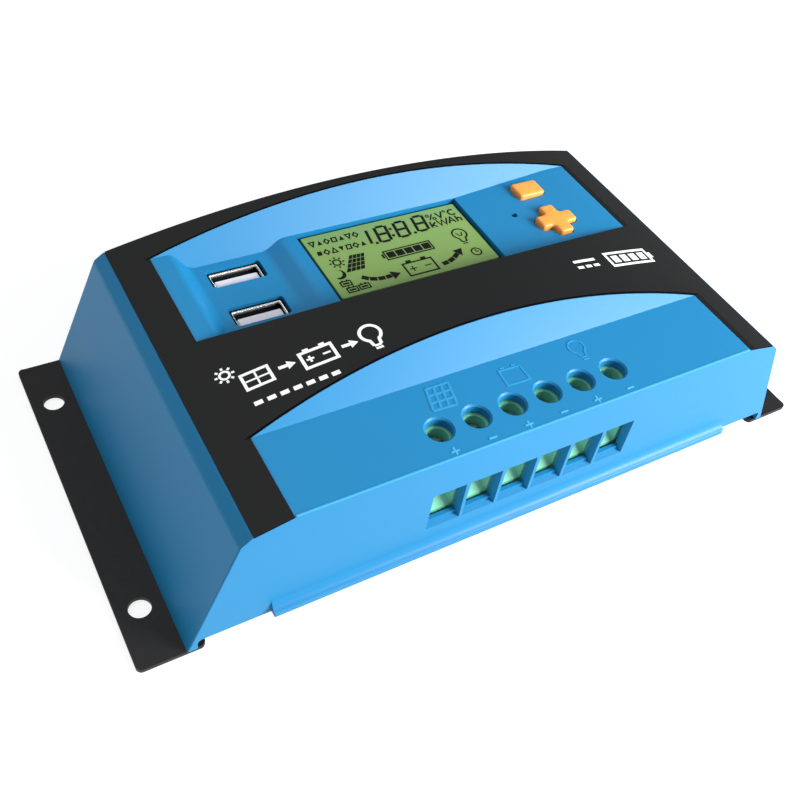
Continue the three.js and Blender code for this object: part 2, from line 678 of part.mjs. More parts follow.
function displayStack() {
  const [x0, x1] = [WINDOW_X[0] + GAP, WINDOW_X[1] - GAP];
  const [y0, y1] = [WINDOW_Y[0] + GAP, WINDOW_Y[1] - GAP];
  const edge = GASKET_W;
  const low = GLASS_TOP - GLASS_THICK;
  const gasket = cut(
    block(x0, y0, low, x1, y1, GLASS_TOP - GASKET_DROP),
    block(x0 + edge, y0 + edge, low - 1, x1 - edge, y1 - edge, GLASS_TOP + 1),
  );
  const inset = edge + 0.1;
  add("lcd_gasket", gasket, GASKET_BLACK);
  add("lcd_glass", block(x0 + inset, y0 + inset, low, x1 - inset, y1 - inset, GLASS_TOP), LCD_GREEN);
  add(
    "lcd_backlight",
    block(x0 + 1, y0 + 1, BACKLIGHT_TOP - BACKLIGHT_THICK, x1 - 1, y1 - 1, BACKLIGHT_TOP),
    USB_WHITE,
  );
  const outline = rect(DISPLAY_BOARD_X[0], DISPLAY_BOARD_Y[0], DISPLAY_BOARD_X[1], DISPLAY_BOARD_Y[1]);
  const board = prism("Z", outline, DISPLAY_BOARD_TOP - BOARD_THICK, DISPLAY_BOARD_TOP);
  add("display_board", board, BOARD_GREEN);
  const header = block(
    DISPLAY_BOARD_X[0] + HEADER_W,
    DISPLAY_BOARD_Y[0] + HEADER_MARGIN,
    MAIN_BOARD_TOP + SEAT,
    DISPLAY_BOARD_X[0] + 2 * HEADER_W,
    DISPLAY_BOARD_Y[1] - HEADER_MARGIN,
    DISPLAY_BOARD_TOP - BOARD_THICK - SEAT,
  );
  add("display_header", header, PART_BLACK);
  const light = rod(
    ...LIGHT_CENTRE,
    LIGHT_R,
    DISPLAY_BOARD_TOP + SEAT,
    keyFloor(LIGHT_CENTRE[0]) - LIGHT_SINK,
    12,
  );
  add("status_light", light, LIGHT_CLEAR);
}

// A key cap with its retaining flange under the housing, the switch below it and its plunger.
function key({ name, centre, outline }) {
  const [x, y] = centre;
  const roof = keyFloor(x - 6) - WALL;
  const flangeTop = roof - GAP;
  const flangeLow = flangeTop - KEY_FLANGE_THICK;
  const switchTop = DISPLAY_BOARD_TOP + SEAT + SWITCH_HEIGHT;
  const cap = join(
    prism("Z", outline(0), flangeLow, keyFloor(x) + KEY_PROUD, 4),
    prism("Z", outline(KEY_FLANGE), flangeLow, flangeTop),
  );
  add(name + "_button", cap, KEY_ORANGE);
  const half = SWITCH_SIZE / 2;
  const low = DISPLAY_BOARD_TOP + SEAT;
  const well = rod(x, y, PLUNGER_R + GAP, low + SWITCH_FLOOR, switchTop + 1, 16);
  const housing = cut(block(x - half, y - half, low, x + half, y + half, switchTop), well);
  add(name + "_switch", housing, PART_BLACK);
  const rest = low + SWITCH_FLOOR + KEY_TRAVEL + 2 * SEAT;
  add(name + "_plunger", rod(x, y, PLUNGER_R, rest, flangeLow - SEAT, 16), PART_BLACK);
}

// ---------------------------------------------------------------- USB sockets

const USB_TOP = POCKET_FLOOR_Z - USB_DROP;
const USB_BOARD_TOP = USB_TOP - USB_SHELL_H - SEAT;

// One upright socket, about its own centre and the top of its shell.
function usbSocket(name, y) {
  const group = groupAt(USB_X, y, USB_TOP);
  const w = USB_SHELL_W / 2;
  const d = USB_SHELL_D / 2;
  const t = USB_SHELL_WALL;
  const outer = roundedRect(-w, -d, w, d, USB_SHELL_R);
  const inner = roundedRect(-w + t, -d + t, w - t, d - t, USB_SHELL_R - t);
  const shell = cut(prism("Z", outer, -USB_SHELL_H, 0), prism("Z", inner, -USB_SHELL_H - 1, 1));
  add("usb_shell_" + name, shell, STEEL, group);
  const tongueY = -d + t + USB_TONGUE_EDGE;
  const half = USB_TONGUE_W / 2;
  const foot = block(
    -w + t + GAP,
    -d + t + GAP,
    -USB_SHELL_H,
    w - t - GAP,
    d - t - GAP,
    USB_BASE_H - USB_SHELL_H,
  );
  const blade = block(-half, tongueY, -USB_SHELL_H + 1, half, tongueY + USB_TONGUE_D, -USB_TONGUE_DROP);
  add("usb_tongue_" + name, join(foot, blade), USB_WHITE, group);
}

function usbBoard() {
  const x0 = USB_X - USB_BOARD_HALF;
  const x1 = USB_X + USB_BOARD_HALF;
  const low = USB_BOARD_TOP - BOARD_THICK;
  const board = block(x0, USB_Y[0] - USB_BOARD_MARGIN, low, x1, USB_Y[1] + USB_BOARD_MARGIN, USB_BOARD_TOP);
  const header = block(x0, USB_Y[0], MAIN_BOARD_TOP + SEAT, x0 + HEADER_W, USB_Y[1], low - SEAT);
  add("usb_board", board, BOARD_GREEN);
  add("usb_header", header, PART_BLACK);
}

// ---------------------------------------------------------------- terminals

const HALL_DEPTH = CAGE_DEPTH + 2 * GAP;
const HALL_W = CAGE_W + 2 * GAP;

// Space inside the block for one way: wire funnel, cage hall, contact slot and screw well.
function wayHollow() {
  const front = INNER_FRONT_Y + GAP;
  const hallY = [SCREW_Y - HALL_DEPTH / 2, SCREW_Y + HALL_DEPTH / 2];
  const floor = CAGE_FLOOR_Z - CAGE_WALL - GAP;
  const hall = block(-HALL_W / 2, hallY[0], floor, HALL_W / 2, hallY[1], CAGE_HALL_TOP);
  const mouth = [-CAGE_W / 2, CAGE_W / 2, ENTRY_Z[0] + ENTRY_SIDE, ENTRY_Z[1] - ENTRY_SIDE];
  const throat = [-THROAT_W / 2, THROAT_W / 2, CAGE_FLOOR_Z + THROAT_RISE, CONTACT_Z - THROAT_DROP];
  const approach = passage(front - 1, mouth, front + BLOCK_LEAN + SEAT, mouth);
  const funnel = passage(front + BLOCK_LEAN, mouth, hallY[0], throat);
  const entry = passage(hallY[0] - SEAT, throat, hallY[0] + 0.5, throat);
  const well = rod(0, SCREW_Y, SCREW_HEAD_R + GAP, CAGE_HALL_TOP - 1, BLOCK_TOP + 1);
  const slot = block(
    -CONTACT_W / 2 - GAP,
    hallY[1] - 1,
    CONTACT_Z - GAP,
    CONTACT_W / 2 + GAP,
    BLOCK_BACK_Y - CONTACT_LEG,
    CONTACT_Z + CONTACT_THICK + GAP,
  );
  const drop = block(
    -CONTACT_W / 2 - GAP,
    BLOCK_BACK_Y - CONTACT_LEG - CONTACT_THICK - 2 * GAP,
    BLOCK_Z - 1,
    CONTACT_W / 2 + GAP,
    BLOCK_BACK_Y - CONTACT_LEG,
    CONTACT_Z + CONTACT_THICK + GAP,
  );
  return join(hall, approach, funnel, entry, well, slot, drop);
}

// Rising clamp cage: a square frame, open to the front and back, on the screw.
function cage() {
  const half = CAGE_W / 2;
  const low = CAGE_FLOOR_Z - CAGE_WALL;
  const inner = CONTACT_Z + CONTACT_THICK + CONTACT_CLEAR;
  const y0 = -CAGE_DEPTH / 2;
  const y1 = CAGE_DEPTH / 2;
  return cut(
    block(-half, y0, low, half, y1, CAGE_TOP_Z),
    block(-half + CAGE_WALL, y0 - 1, CAGE_FLOOR_Z, half - CAGE_WALL, y1 + 1, inner),
    rod(0, 0, SCREW_SHAFT_R + GAP, inner - 1, CAGE_TOP_Z + 1, 16),
  );
}

// Fixed contact: a bar through the cage that bends down to the board behind it.
function contact() {
  const half = CONTACT_W / 2;
  const back = BLOCK_BACK_Y - CONTACT_LEG - GAP - SCREW_Y;
  const top = CONTACT_Z + CONTACT_THICK;
  return join(
    block(-half, -CAGE_DEPTH / 2 + GAP, CONTACT_Z, half, back, top),
    block(-half, back - CONTACT_THICK, BLOCK_Z, half, back, top),
  );
}

function clampScrew() {
  const top = SCREW_HEAD_Z + SCREW_HEAD_H;
  const tip = CONTACT_Z + CONTACT_THICK + GAP;
  const body = turned(0, 0, [
    [0, tip],
    [SCREW_SHAFT_R - SCREW_EDGE, tip],
    [SCREW_SHAFT_R, tip + SCREW_EDGE],
    [SCREW_SHAFT_R, SCREW_HEAD_Z],
    [SCREW_HEAD_R, SCREW_HEAD_Z],
    [SCREW_HEAD_R, top - SCREW_EDGE],
    [SCREW_HEAD_R - SCREW_EDGE, top],
    [0, top],
  ]);
  const slot = block(-SCREW_HEAD_R - 1, -SLOT_W / 2, top - SLOT_DEPTH, SCREW_HEAD_R + 1, SLOT_W / 2, top + 1);
  return cut(body, slot);
}

function terminals() {
  const front = INNER_FRONT_Y + GAP;
  let body = block(-BLOCK_HALF, front + BLOCK_LEAN, BLOCK_Z, BLOCK_HALF, BLOCK_BACK_Y, BLOCK_TOP);
  for (let way = 0; way < WAYS; way++) {
    body = cut(body, wayHollow().translate(wayX(way), 0, 0));
  }
  add("terminal_block", body, BLOCK_GREEN);
  for (let way = 0; way < WAYS; way++) {
    const group = groupAt(wayX(way), SCREW_Y, 0);
    add("terminal_screw_" + (way + 1), clampScrew(), STEEL, group);
    add("terminal_cage_" + (way + 1), cage(), STEEL, group);
    add("terminal_contact_" + (way + 1), contact(), COPPER, group);
  }
}

// ---------------------------------------------------------------- main board and its parts

function mainBoard() {
  const [y0, y1] = MAIN_BOARD_Y;
  const outline = roundedRect(-MAIN_BOARD_HALF, y0, MAIN_BOARD_HALF, y1, 2);
  let board = prism("Z", outline, MAIN_BOARD_TOP - BOARD_THICK, MAIN_BOARD_TOP);
  for (const [x, y] of corners(...BASE_SCREW)) {
    board = cut(board, rod(x, y, BOSS_R + GAP, 0, FLOOR_Z));
  }
  add("main_board", board, BOARD_GREEN);
  const spacerTop = MAIN_BOARD_TOP - BOARD_THICK - SEAT;
  corners(...SPACER).forEach(([x, y], i) => {
    add("board_spacer_" + (i + 1), rod(x, y, SPACER_R, PLATE_THICK + SEAT, spacerTop, 6), STEEL);
  });
}

function powerStage() {
  const [x0, y0, x1, y1] = SPREADER;
  const padTop = PLATE_THICK + SEAT + PAD_THICK;
  add("thermal_pad", block(x0, y0, PLATE_THICK + SEAT, x1, y1, padTop), PAD_GREY);
  const top = padTop + SEAT + SPREADER_THICK;
  add("heat_spreader", block(x0, y0, padTop + SEAT, x1, y1, top), ALUMINIUM);
  const low = MAIN_BOARD_TOP + SEAT;
  for (let i = 0; i < TRANSISTORS; i++) {
    const x = (i - (TRANSISTORS - 1) / 2) * TRANSISTOR_PITCH;
    const half = TRANSISTOR_W / 2;
    const tab = block(x - half, y0 + 1, low, x + half, y0 + 1 + TRANSISTOR_TAB, low + TAB_THICK);
    const body = block(x - half, y0 + 1, low, x + half, y0 + 1 + TRANSISTOR_BODY, low + TRANSISTOR_H);
    add("power_transistor_" + (i + 1), join(tab, body), PART_BLACK);
  }
}

function capacitor(name, { x, y, r, height }) {
  const low = MAIN_BOARD_TOP + SEAT;
  const top = low + height;
  const can = turned(x, y, [[0, low], [r, low], [r, top - CAN_EDGE], [r - CAN_EDGE, top], [0, top]]);
  add(name, can, SLEEVE_BLUE);
}

function boardParts() {
  const low = MAIN_BOARD_TOP + SEAT;
  capacitor("bulk_capacitor", BULK_CAPACITOR);
  capacitor("output_capacitor", OUTPUT_CAPACITOR);
  const { x, y, outer, inner, height } = INDUCTOR;
  const core = cut(rod(x, y, outer, low, low + height), rod(x, y, inner, low - 1, low + height + 1));
  add("inductor", core, PART_BLACK);
  const half = CHIP.size / 2;
  const chip = [CHIP.x - half, CHIP.y - half, low, CHIP.x + half, CHIP.y + half, low + CHIP.height];
  add("microcontroller", block(...chip), PART_BLACK);
}

// Countersunk screws that hold the plate to the housing's bosses.
function baseScrews() {
  corners(...BASE_SCREW).forEach(([x, y], i) => {
    const head = PLATE_THICK - 0.1;
    const body = turned(x, y, [
      [0, SEAT],
      [BASE_SCREW_HEAD_R, SEAT],
      [BASE_SCREW_R, head],
      [BASE_SCREW_R, BASE_SCREW_LENGTH],
      [0, BASE_SCREW_LENGTH],
    ], 16);
    add("base_screw_" + (i + 1), body, STEEL);
  });
}

// ---------------------------------------------------------------- assembly

add("base_plate", basePlate(), PLATE_BLACK);
add("housing", housing(), SHELL_BLUE);
add("label_film", labelFilm(), FILM_BLACK);
displayStack();
KEYS.forEach(key);
usbSocket("front", USB_Y[0]);
usbSocket("back", USB_Y[1]);
usbBoard();
terminals();
mainBoard();
powerStage();
boardParts();
baseScrews();

export default controller;
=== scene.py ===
"""Looks for a solar charge controller: moulded housing, printed film, display, keys, sockets and terminals.

Sizes in the classes are millimetres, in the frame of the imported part: the origin is the centre of the
base plate's underside, +X runs along the length, +Y to the back and +Z up. Meshes are in metres.
"""

import logging
import math
from dataclasses import dataclass, field, replace
from enum import Enum
from typing import Callable, ClassVar, Iterable, Sequence

import bmesh
import bpy
import numpy as np
from mathutils import Matrix, Quaternion, Vector


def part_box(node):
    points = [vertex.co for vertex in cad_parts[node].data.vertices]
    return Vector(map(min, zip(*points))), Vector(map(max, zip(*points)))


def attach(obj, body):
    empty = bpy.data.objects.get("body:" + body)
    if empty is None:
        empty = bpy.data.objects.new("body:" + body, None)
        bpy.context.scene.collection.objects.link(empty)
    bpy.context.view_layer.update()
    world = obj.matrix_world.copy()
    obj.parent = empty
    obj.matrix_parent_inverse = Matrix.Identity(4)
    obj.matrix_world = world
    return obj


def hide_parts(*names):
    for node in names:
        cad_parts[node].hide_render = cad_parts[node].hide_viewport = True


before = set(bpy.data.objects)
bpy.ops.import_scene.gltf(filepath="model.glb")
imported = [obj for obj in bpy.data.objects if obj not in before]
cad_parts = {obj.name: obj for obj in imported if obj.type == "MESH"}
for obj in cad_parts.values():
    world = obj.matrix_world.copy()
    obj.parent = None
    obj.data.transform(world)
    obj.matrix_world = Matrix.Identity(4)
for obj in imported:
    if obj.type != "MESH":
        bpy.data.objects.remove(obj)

MM = 0.001
LOG = logging.getLogger("charge_controller")
Lift = Callable[[np.ndarray, np.ndarray], np.ndarray]
Spot = tuple[float, float]

# Corners nearer than this are one point, m: on a new piece, and on a copy of a CAD node.
PIECE_JOIN, NODE_JOIN = 1e-7, 2e-6
# Neighbouring faces of a CAD node that differ by less are one flat face, degrees.
SAME_PLANE = 0.2
# Edges that turn more stay sharp, degrees: on a new piece, on a node as it is, and after its rounding.
PIECE_SHARP, NODE_SHARP, ROUNDED_SHARP = 35, 28, 50


# ------------------------------------------------------------------ finishes


def linear(code: str) -> tuple[float, float, float, float]:
    """Turn an sRGB hex colour into the linear values that a shader takes.

    Args:
        code: Colour written as "#RRGGBB".

    Returns:
        Red, green and blue in linear light, and an alpha of 1.
    """
    parts = [int(code[i : i + 2], 16) / 255 for i in (1, 3, 5)]
    red, green, blue = (p / 12.92 if p <= 0.04045 else ((p + 0.055) / 1.055) ** 2.4 for p in parts)
    return red, green, blue, 1.0


def add_node(tree: bpy.types.NodeTree, kind: str, links: dict | None = None, **settings) -> bpy.types.Node:
    """Add a node with its settings and links.

    Args:
        tree: Node tree of the material.
        kind: Blender's name for the node type.
        links: Input name or number, with the socket or the value that feeds it.
        settings: Properties of the node itself.

    Returns:
        The new node.
    """
    made = tree.nodes.new(kind)
    for key, value in settings.items():
        setattr(made, key, value)
    for key, value in (links or {}).items():
        if isinstance(value, bpy.types.NodeSocket):
            tree.links.new(value, made.inputs[key])
        else:
            made.inputs[key].default_value = value
    return made


class Pattern(Enum):
    """How the surface was made, which sets the relief and the roughness it shows."""

    SPARKED = "spark-eroded mould texture"
    PEEL = "sprayed or powdered coat with a soft orange peel"
    BRUSHED = "drawn or rolled metal with fine lines along one way"
    CAST = "pressed or cast body with scattered grains"
    TRACED = "board with tracks under its solder mask"


@dataclass(frozen=True)
class Finish:
    """One finish, with real sizes for its pattern.

    Attributes:
        name: Material's common name.
        colour: Main colour, sRGB hex.
        shade: Colour of its deeper patches, sRGB hex.
        roughness: Mean roughness.
        pattern: How the surface was made.
        grain: Width of one grain, peel or line, mm.
        depth: Height of the relief, mm.
        patch: Width of the slow colour changes, mm.
        mix: How far the patches turn to the deeper colour.
        metallic: 1 for bare metal.
        ior: Index of refraction; metals keep the usual 1.5.
        coat: Weight of a clear glossy layer.
        spread: How much the roughness changes over the grain.
        run: Direction that brushed lines run along.
        depth_light: Weight of light that travels under the surface.
        shine: Level of the mirror part, 0.5 for a clean surface.
        glow: Strength of white light that it gives off, for a lit sheet.
        coat_roughness: Roughness of the clear layer.
        reach: How far red, green and blue light travel under the surface, mm.
        cloud: Noise values where a deeper patch begins and where it is full.
    """

    name: str
    colour: str
    shade: str
    roughness: float
    pattern: Pattern = Pattern.SPARKED
    grain: float = 0.4
    depth: float = 0.006
    patch: float = 25.0
    mix: float = 0.35
    metallic: float = 0.0
    ior: float = 1.5
    coat: float = 0.0
    spread: float = 0.08
    run: tuple[float, float, float] = (0.06, 1.0, 1.0)
    depth_light: float = 0.0
    shine: float = 0.5
    glow: float = 0.0
    coat_roughness: float = 0.12
    reach: tuple[float, float, float] = (0.8, 0.4, 0.2)
    cloud: Spot = (0.35, 0.7)
    made: ClassVar[dict[str, bpy.types.Material]] = {}

    def material(self) -> bpy.types.Material:
        """Return this finish's material, building it the first time."""
        if self.name not in Finish.made:
            Finish.made[self.name] = self._build()
        return Finish.made[self.name]

    def _build(self) -> bpy.types.Material:
        """Build the node material: slow patches in the colour, fine grain in the relief and roughness."""
        material = bpy.data.materials.new(self.name)
        material.use_nodes = True
        tree = material.node_tree
        tree.nodes.clear()
        place = add_node(tree, "ShaderNodeTexCoord").outputs["Object"]
        grain = self._grain(tree, place)
        patches = add_node(
            tree, "ShaderNodeTexNoise", {"Vector": place, "Scale": 1 / (self.patch * MM), "Detail": 3.0}
        )
        share = add_node(
            tree,
            "ShaderNodeMapRange",
            {
                "Value": patches.outputs["Fac"],
                "From Min": self.cloud[0],
                "From Max": self.cloud[1],
                "To Max": self.mix,
            },
        )
        colour = add_node(
            tree,
            "ShaderNodeMix",
            {"Factor": share.outputs[0], 6: linear(self.colour), 7: linear(self.shade)},
            data_type="RGBA",
        ).outputs[2]
        rough = add_node(
            tree,
            "ShaderNodeMapRange",
            {
                "Value": grain,
                "To Min": max(0.03, self.roughness - self.spread),
                "To Max": min(1.0, self.roughness + self.spread),
            },
        )
        relief = add_node(
            tree, "ShaderNodeBump", {"Height": grain, "Distance": self.depth * MM, "Strength": 1.0}
        )
        shader = add_node(
            tree,
            "ShaderNodeBsdfPrincipled",
            {
                "Base Color": self._dress(tree, place, colour),
                "Roughness": rough.outputs[0],
                "Normal": relief.outputs[0],
                "Metallic": self.metallic,
                "IOR": self.ior,
                "Coat Weight": self.coat,
                "Specular IOR Level": self.shine,
                "Coat Roughness": self.coat_roughness,
                "Emission Strength": self.glow,
            },
        )
        if self.depth_light:
            shader.inputs["Subsurface Weight"].default_value = self.depth_light
            shader.inputs["Subsurface Radius"].default_value = tuple(r * MM for r in self.reach)
            shader.inputs["Subsurface Scale"].default_value = 1.0
        add_node(tree, "ShaderNodeOutputMaterial", {"Surface": shader.outputs[0]})
        return material

    def _grain(self, tree: bpy.types.NodeTree, place: bpy.types.NodeSocket) -> bpy.types.NodeSocket:
        """Return the height of the fine relief, 0 to 1.

        Args:
            tree: Node tree of the material.
            place: Object coordinates, metres.
        """
        scale = 1 / (self.grain * MM)
        if self.pattern is Pattern.BRUSHED:
            place = add_node(
                tree, "ShaderNodeMapping", {"Vector": place, "Scale": self.run}, vector_type="POINT"
            ).outputs[0]
        if self.pattern is Pattern.CAST:
            cells = add_node(tree, "ShaderNodeTexVoronoi", {"Vector": place, "Scale": scale})
            return cells.outputs["Distance"]
        if self.pattern is Pattern.TRACED:
            cells = add_node(
                tree, "ShaderNodeTexVoronoi", {"Vector": place, "Scale": scale, "Randomness": 0.55},
                distance="CHEBYCHEV", feature="F1",
            )
            track = {"Value": cells.outputs["Distance"], "From Min": 0.34, "From Max": 0.4}
            return add_node(tree, "ShaderNodeMapRange", track).outputs[0]
        detail = {Pattern.SPARKED: 4.0, Pattern.PEEL: 1.5, Pattern.BRUSHED: 5.0}[self.pattern]
        settings = {"Vector": place, "Scale": scale, "Detail": detail, "Roughness": 0.55}
        return add_node(tree, "ShaderNodeTexNoise", settings).outputs["Fac"]

    def _dress(
        self, tree: bpy.types.NodeTree, place: bpy.types.NodeSocket, colour: bpy.types.NodeSocket
    ) -> bpy.types.NodeSocket:
        """Return the final colour; the plain finish leaves it as it is."""
        return colour


@dataclass(frozen=True)
class Speckled(Finish):
    """A finish with scattered grains of another colour, as in a filled silicone or a sintered core.

    Attributes:
        fleck: Colour of the grains, sRGB hex.
        share: Part of the surface that the grains take, 0 to 1.
        fleck_size: Width of one grain, mm.
    """

    fleck: str = "#FFFFFF"
    share: float = 0.3
    fleck_size: float = 0.8

    def _dress(
        self, tree: bpy.types.NodeTree, place: bpy.types.NodeSocket, colour: bpy.types.NodeSocket
    ) -> bpy.types.NodeSocket:
        """Lay grains of the second colour over the first, where a noise is above its threshold."""
        settings = {"Vector": place, "Scale": 1 / (self.fleck_size * MM), "Detail": 2.0}
        noise = add_node(tree, "ShaderNodeTexNoise", settings).outputs["Fac"]
        edge = 0.62 - 0.25 * self.share
        steep = {"Value": noise, "From Min": edge, "From Max": edge + 0.05}
        mask = add_node(tree, "ShaderNodeMapRange", steep).outputs[0]
        links = {"Factor": mask, 6: colour, 7: linear(self.fleck)}
        return add_node(tree, "ShaderNodeMix", links, data_type="RGBA").outputs[2]


# Moulded ABS: even pigment, and a mould sparked to a fine satin. The real grain is about 0.1 mm;
# it is drawn at 0.45 mm so that it shows.
BLUE_ABS = Finish(
    "Blue moulded ABS", "#1878AA", "#1671A1", 0.46, grain=0.45, depth=0.004, patch=60, ior=1.54, shine=0.25
)
# The same ABS, glossier, and painted paler as a highlight: on the bead along the floor's front edge and on
# the polarity signs.
PAINTED_HIGHLIGHT_ABS = Finish(
    "Moulded ABS with painted highlight", "#3A9FD2", "#3598CA", 0.3, grain=0.45, depth=0.002, patch=20, ior=1.54
)
# The same ABS in the engraved lines of the mould, spark eroded less coarsely and so a little glossier, and
# painted paler as a highlight on the raised signs.
SIGN_HIGHLIGHT_ABS = replace(BLUE_ABS, name="Blue ABS signs with painted highlight", colour="#2488BB", roughness=0.38, shine=0.3)
# Polycarbonate overlay film: black ink printed on its back, velvet face with a very fine grain.
VELVET_FILM = Finish(
    "Velvet polycarbonate film", "#0A0B0D", "#08090A", 0.55, grain=0.3, depth=0.004, patch=40, ior=1.585,
    shine=0.2
)
# Edge of the film: a darker black than its face, painted shade on the faces that turn away from the top so
# that their lit side does not show; rough and dull.
FILM_EDGE_SHADE = Finish("Film edge with painted shade", "#020203", "#010102", 0.9, grain=0.3, depth=0.004, patch=20, shine=0.05)
# Screen ink: thin, opaque and slightly chalky.
WHITE_INK = Finish("White screen ink", "#F2F3F4", "#ECEEEF", 0.55, grain=0.3, depth=0.003, patch=4)
# Liquid crystal cell seen through its front polariser: yellow-green, with a clear hard face.
CRYSTAL_CELL = Finish(
    "Yellow-green liquid crystal cell", "#76984F", "#71914B", 0.35, Pattern.PEEL, grain=2.5, depth=0.001,
    patch=18, ior=1.52, coat=0.35, spread=0.04,
)
# A driven segment absorbs nearly all light, with a warm brown tint.
CRYSTAL_SEGMENT = Finish(
    "Dark liquid crystal segment", "#0B0A07", "#13110C", 0.6, grain=0.6, depth=0.001, patch=3, shine=0.15
)
# Inside of the shells: the same plating, rougher, painted dark grey as the shade that falls inside the mouth.
INNER_SHADE_STEEL = Finish(
    "Plated steel with painted shade", "#3A3A3C", "#303032", 0.5, Pattern.BRUSHED, grain=0.5, depth=0.002, patch=4,
    metallic=0.8, spread=0.06, run=(1.0, 1.0, 0.06),
)
# Foam gasket: matt black with small open cells.
GASKET_FOAM = Finish(
    "Black gasket foam", "#050506", "#030304", 0.95, Pattern.CAST, grain=0.35, depth=0.03, patch=5, shine=0.1
)
# Keys: dyed silicone rubber, satin, and light travels a little way into it.
KEY_SILICONE = Finish(
    "Orange silicone rubber", "#FA9F48", "#F4963C", 0.42, grain=0.35, depth=0.003, patch=8, ior=1.43,
    depth_light=0.25,
)
# Light pipe: smoked acrylic with a polished end.
SMOKED_ACRYLIC = Finish(
    "Smoked acrylic", "#1C1D20", "#101113", 0.12, Pattern.PEEL, grain=1.2, depth=0.001, patch=2, ior=1.49,
    coat=0.6,
)
# Stamped steel under bright nickel: nearly a mirror, with rolling lines along the sheet.
NICKEL_STEEL = Finish(
    "Nickel-plated steel", "#F2F2F0", "#E6E6E4", 0.24, Pattern.BRUSHED, grain=0.5, depth=0.002, patch=4,
    metallic=1, spread=0.06, run=(1.0, 1.0, 0.06),
)
# Socket insulator: white glass-filled polyester, slightly cool, with a moulded satin.
WHITE_POLYESTER = Finish(
    "White glass-filled polyester", "#DADAE6", "#D2D2DF", 0.4, grain=0.3, depth=0.003, patch=4, ior=1.57
)
# Contact strip: phosphor bronze under a thin gold flash.
GOLD_FLASH = Finish(
    "Gold-flashed bronze", "#E8C060", "#D9AE4C", 0.22, Pattern.BRUSHED, grain=0.3, depth=0.001, patch=2,
    metallic=1, spread=0.05, run=(1.0, 1.0, 0.1),
)
# Terminal body: green polyamide, more open grain and softer gloss than the housing.
GREEN_POLYAMIDE = Finish(
    "Green moulded polyamide", "#6ABB9C", "#60AF90", 0.45, grain=0.4, depth=0.005, patch=6, ior=1.53
)
# Turned or headed steel with clear zinc: bluish grey, faint turning lines.
ZINC_STEEL = Finish(
    "Zinc-plated steel", "#B9BDC2", "#A3A7AD", 0.33, Pattern.BRUSHED, grain=0.35, depth=0.004, patch=3,
    metallic=1, spread=0.1, run=(1.0, 0.2, 1.0),
)
# Contact bar: copper strip under soft matt tin.
TINNED_COPPER = Finish(
    "Tinned copper", "#C9C8C2", "#B5B3AB", 0.36, Pattern.BRUSHED, grain=0.4, depth=0.003, patch=3,
    metallic=1, spread=0.08, run=(0.1, 1.0, 1.0),
)
# Base plate: steel sheet under black powder coat, with the soft peel the powder leaves.
BLACK_POWDER = Finish(
    "Black powder coat", "#18181A", "#131314", 0.5, Pattern.PEEL, grain=0.9, depth=0.012, patch=30, ior=1.5,
    shine=0.25
)
# Boards: green mask over copper tracks on glass-epoxy.
SOLDER_MASK = Finish(
    "Green solder mask", "#1E6B3C", "#175A31", 0.35, Pattern.TRACED, grain=2.4, depth=0.035, patch=6,
    mix=0.6, coat=0.3,
)
# Small moulded parts: black nylon or epoxy moulding compound.
BLACK_EPOXY = Finish(
    "Black moulding compound", "#222325", "#1A1B1C", 0.55, Pattern.CAST, grain=0.3, depth=0.006, patch=3
)
# Diffuser sheet and carrier behind the display: milky acrylic.
MILKY_ACRYLIC = Finish(
    "Milky acrylic", "#E9ECEA", "#DDE2E0", 0.3, Pattern.PEEL, grain=2.0, depth=0.002, patch=12, ior=1.49,
    depth_light=0.3,
)
# Heat spreader: extruded aluminium, die lines along its length.
ALUMINIUM = Finish(
    "Extruded aluminium", "#C6C8CA", "#B8BABD", 0.38, Pattern.BRUSHED, grain=0.6, depth=0.006, patch=8,
    metallic=1, spread=0.08, run=(0.03, 1.0, 1.0),
)
# Spacers: turned brass bar.
BRASS = Finish(
    "Turned brass", "#D2A957", "#C2994B", 0.28, Pattern.BRUSHED, grain=0.3, depth=0.003, patch=3,
    metallic=1, run=(1.0, 1.0, 0.1),
)
# Capacitor sleeve: heat-shrunk PVC, glossy.
PVC_SLEEVE = Finish(
    "Shrunk PVC sleeve", "#1A2438", "#141C2C", 0.3, Pattern.PEEL, grain=1.5, depth=0.01, patch=5, coat=0.3
)
# Thermal pad: silicone filled with ceramic grains.
THERMAL_SILICONE = Speckled(
    "Ceramic-filled silicone", "#8F98A0", "#858E96", 0.75, Pattern.CAST, grain=0.5, depth=0.01, patch=5,
    fleck="#B4BBC2", share=0.35, fleck_size=0.9,
)
# Inductor core: sintered iron powder, matt with bright grains.
IRON_POWDER = Speckled(
    "Sintered iron powder", "#34373A", "#2B2E31", 0.7, Pattern.CAST, grain=0.5, depth=0.02, patch=4,
    fleck="#4B4F53", share=0.3, fleck_size=0.6,
)
# Floor: sheet of opal acrylic lit from below, as small parts are shown on.
OPAL_SHEET = Finish(
    "Lit opal acrylic", "#A0A0A0", "#9D9D9D", 0.7, Pattern.PEEL, grain=6, depth=0.0, patch=400, ior=1.49,
    shine=0.1, glow=0.78,
)


# ------------------------------------------------------------------ surfaces


@dataclass
class Skin:
    """Points and faces of one or more closed surfaces, in millimetres."""

    points: np.ndarray
    faces: list[list[int]]

    @staticmethod
    def joined(parts: Sequence["Skin"]) -> "Skin":
        """Put several skins in one, each with its faces numbered on from the last."""
        starts = np.cumsum([0] + [len(p.points) for p in parts])
        faces = [[int(i) + int(s) for i in face] for p, s in zip(parts, starts) for face in p.faces]
        return Skin(np.vstack([p.points for p in parts]), faces)


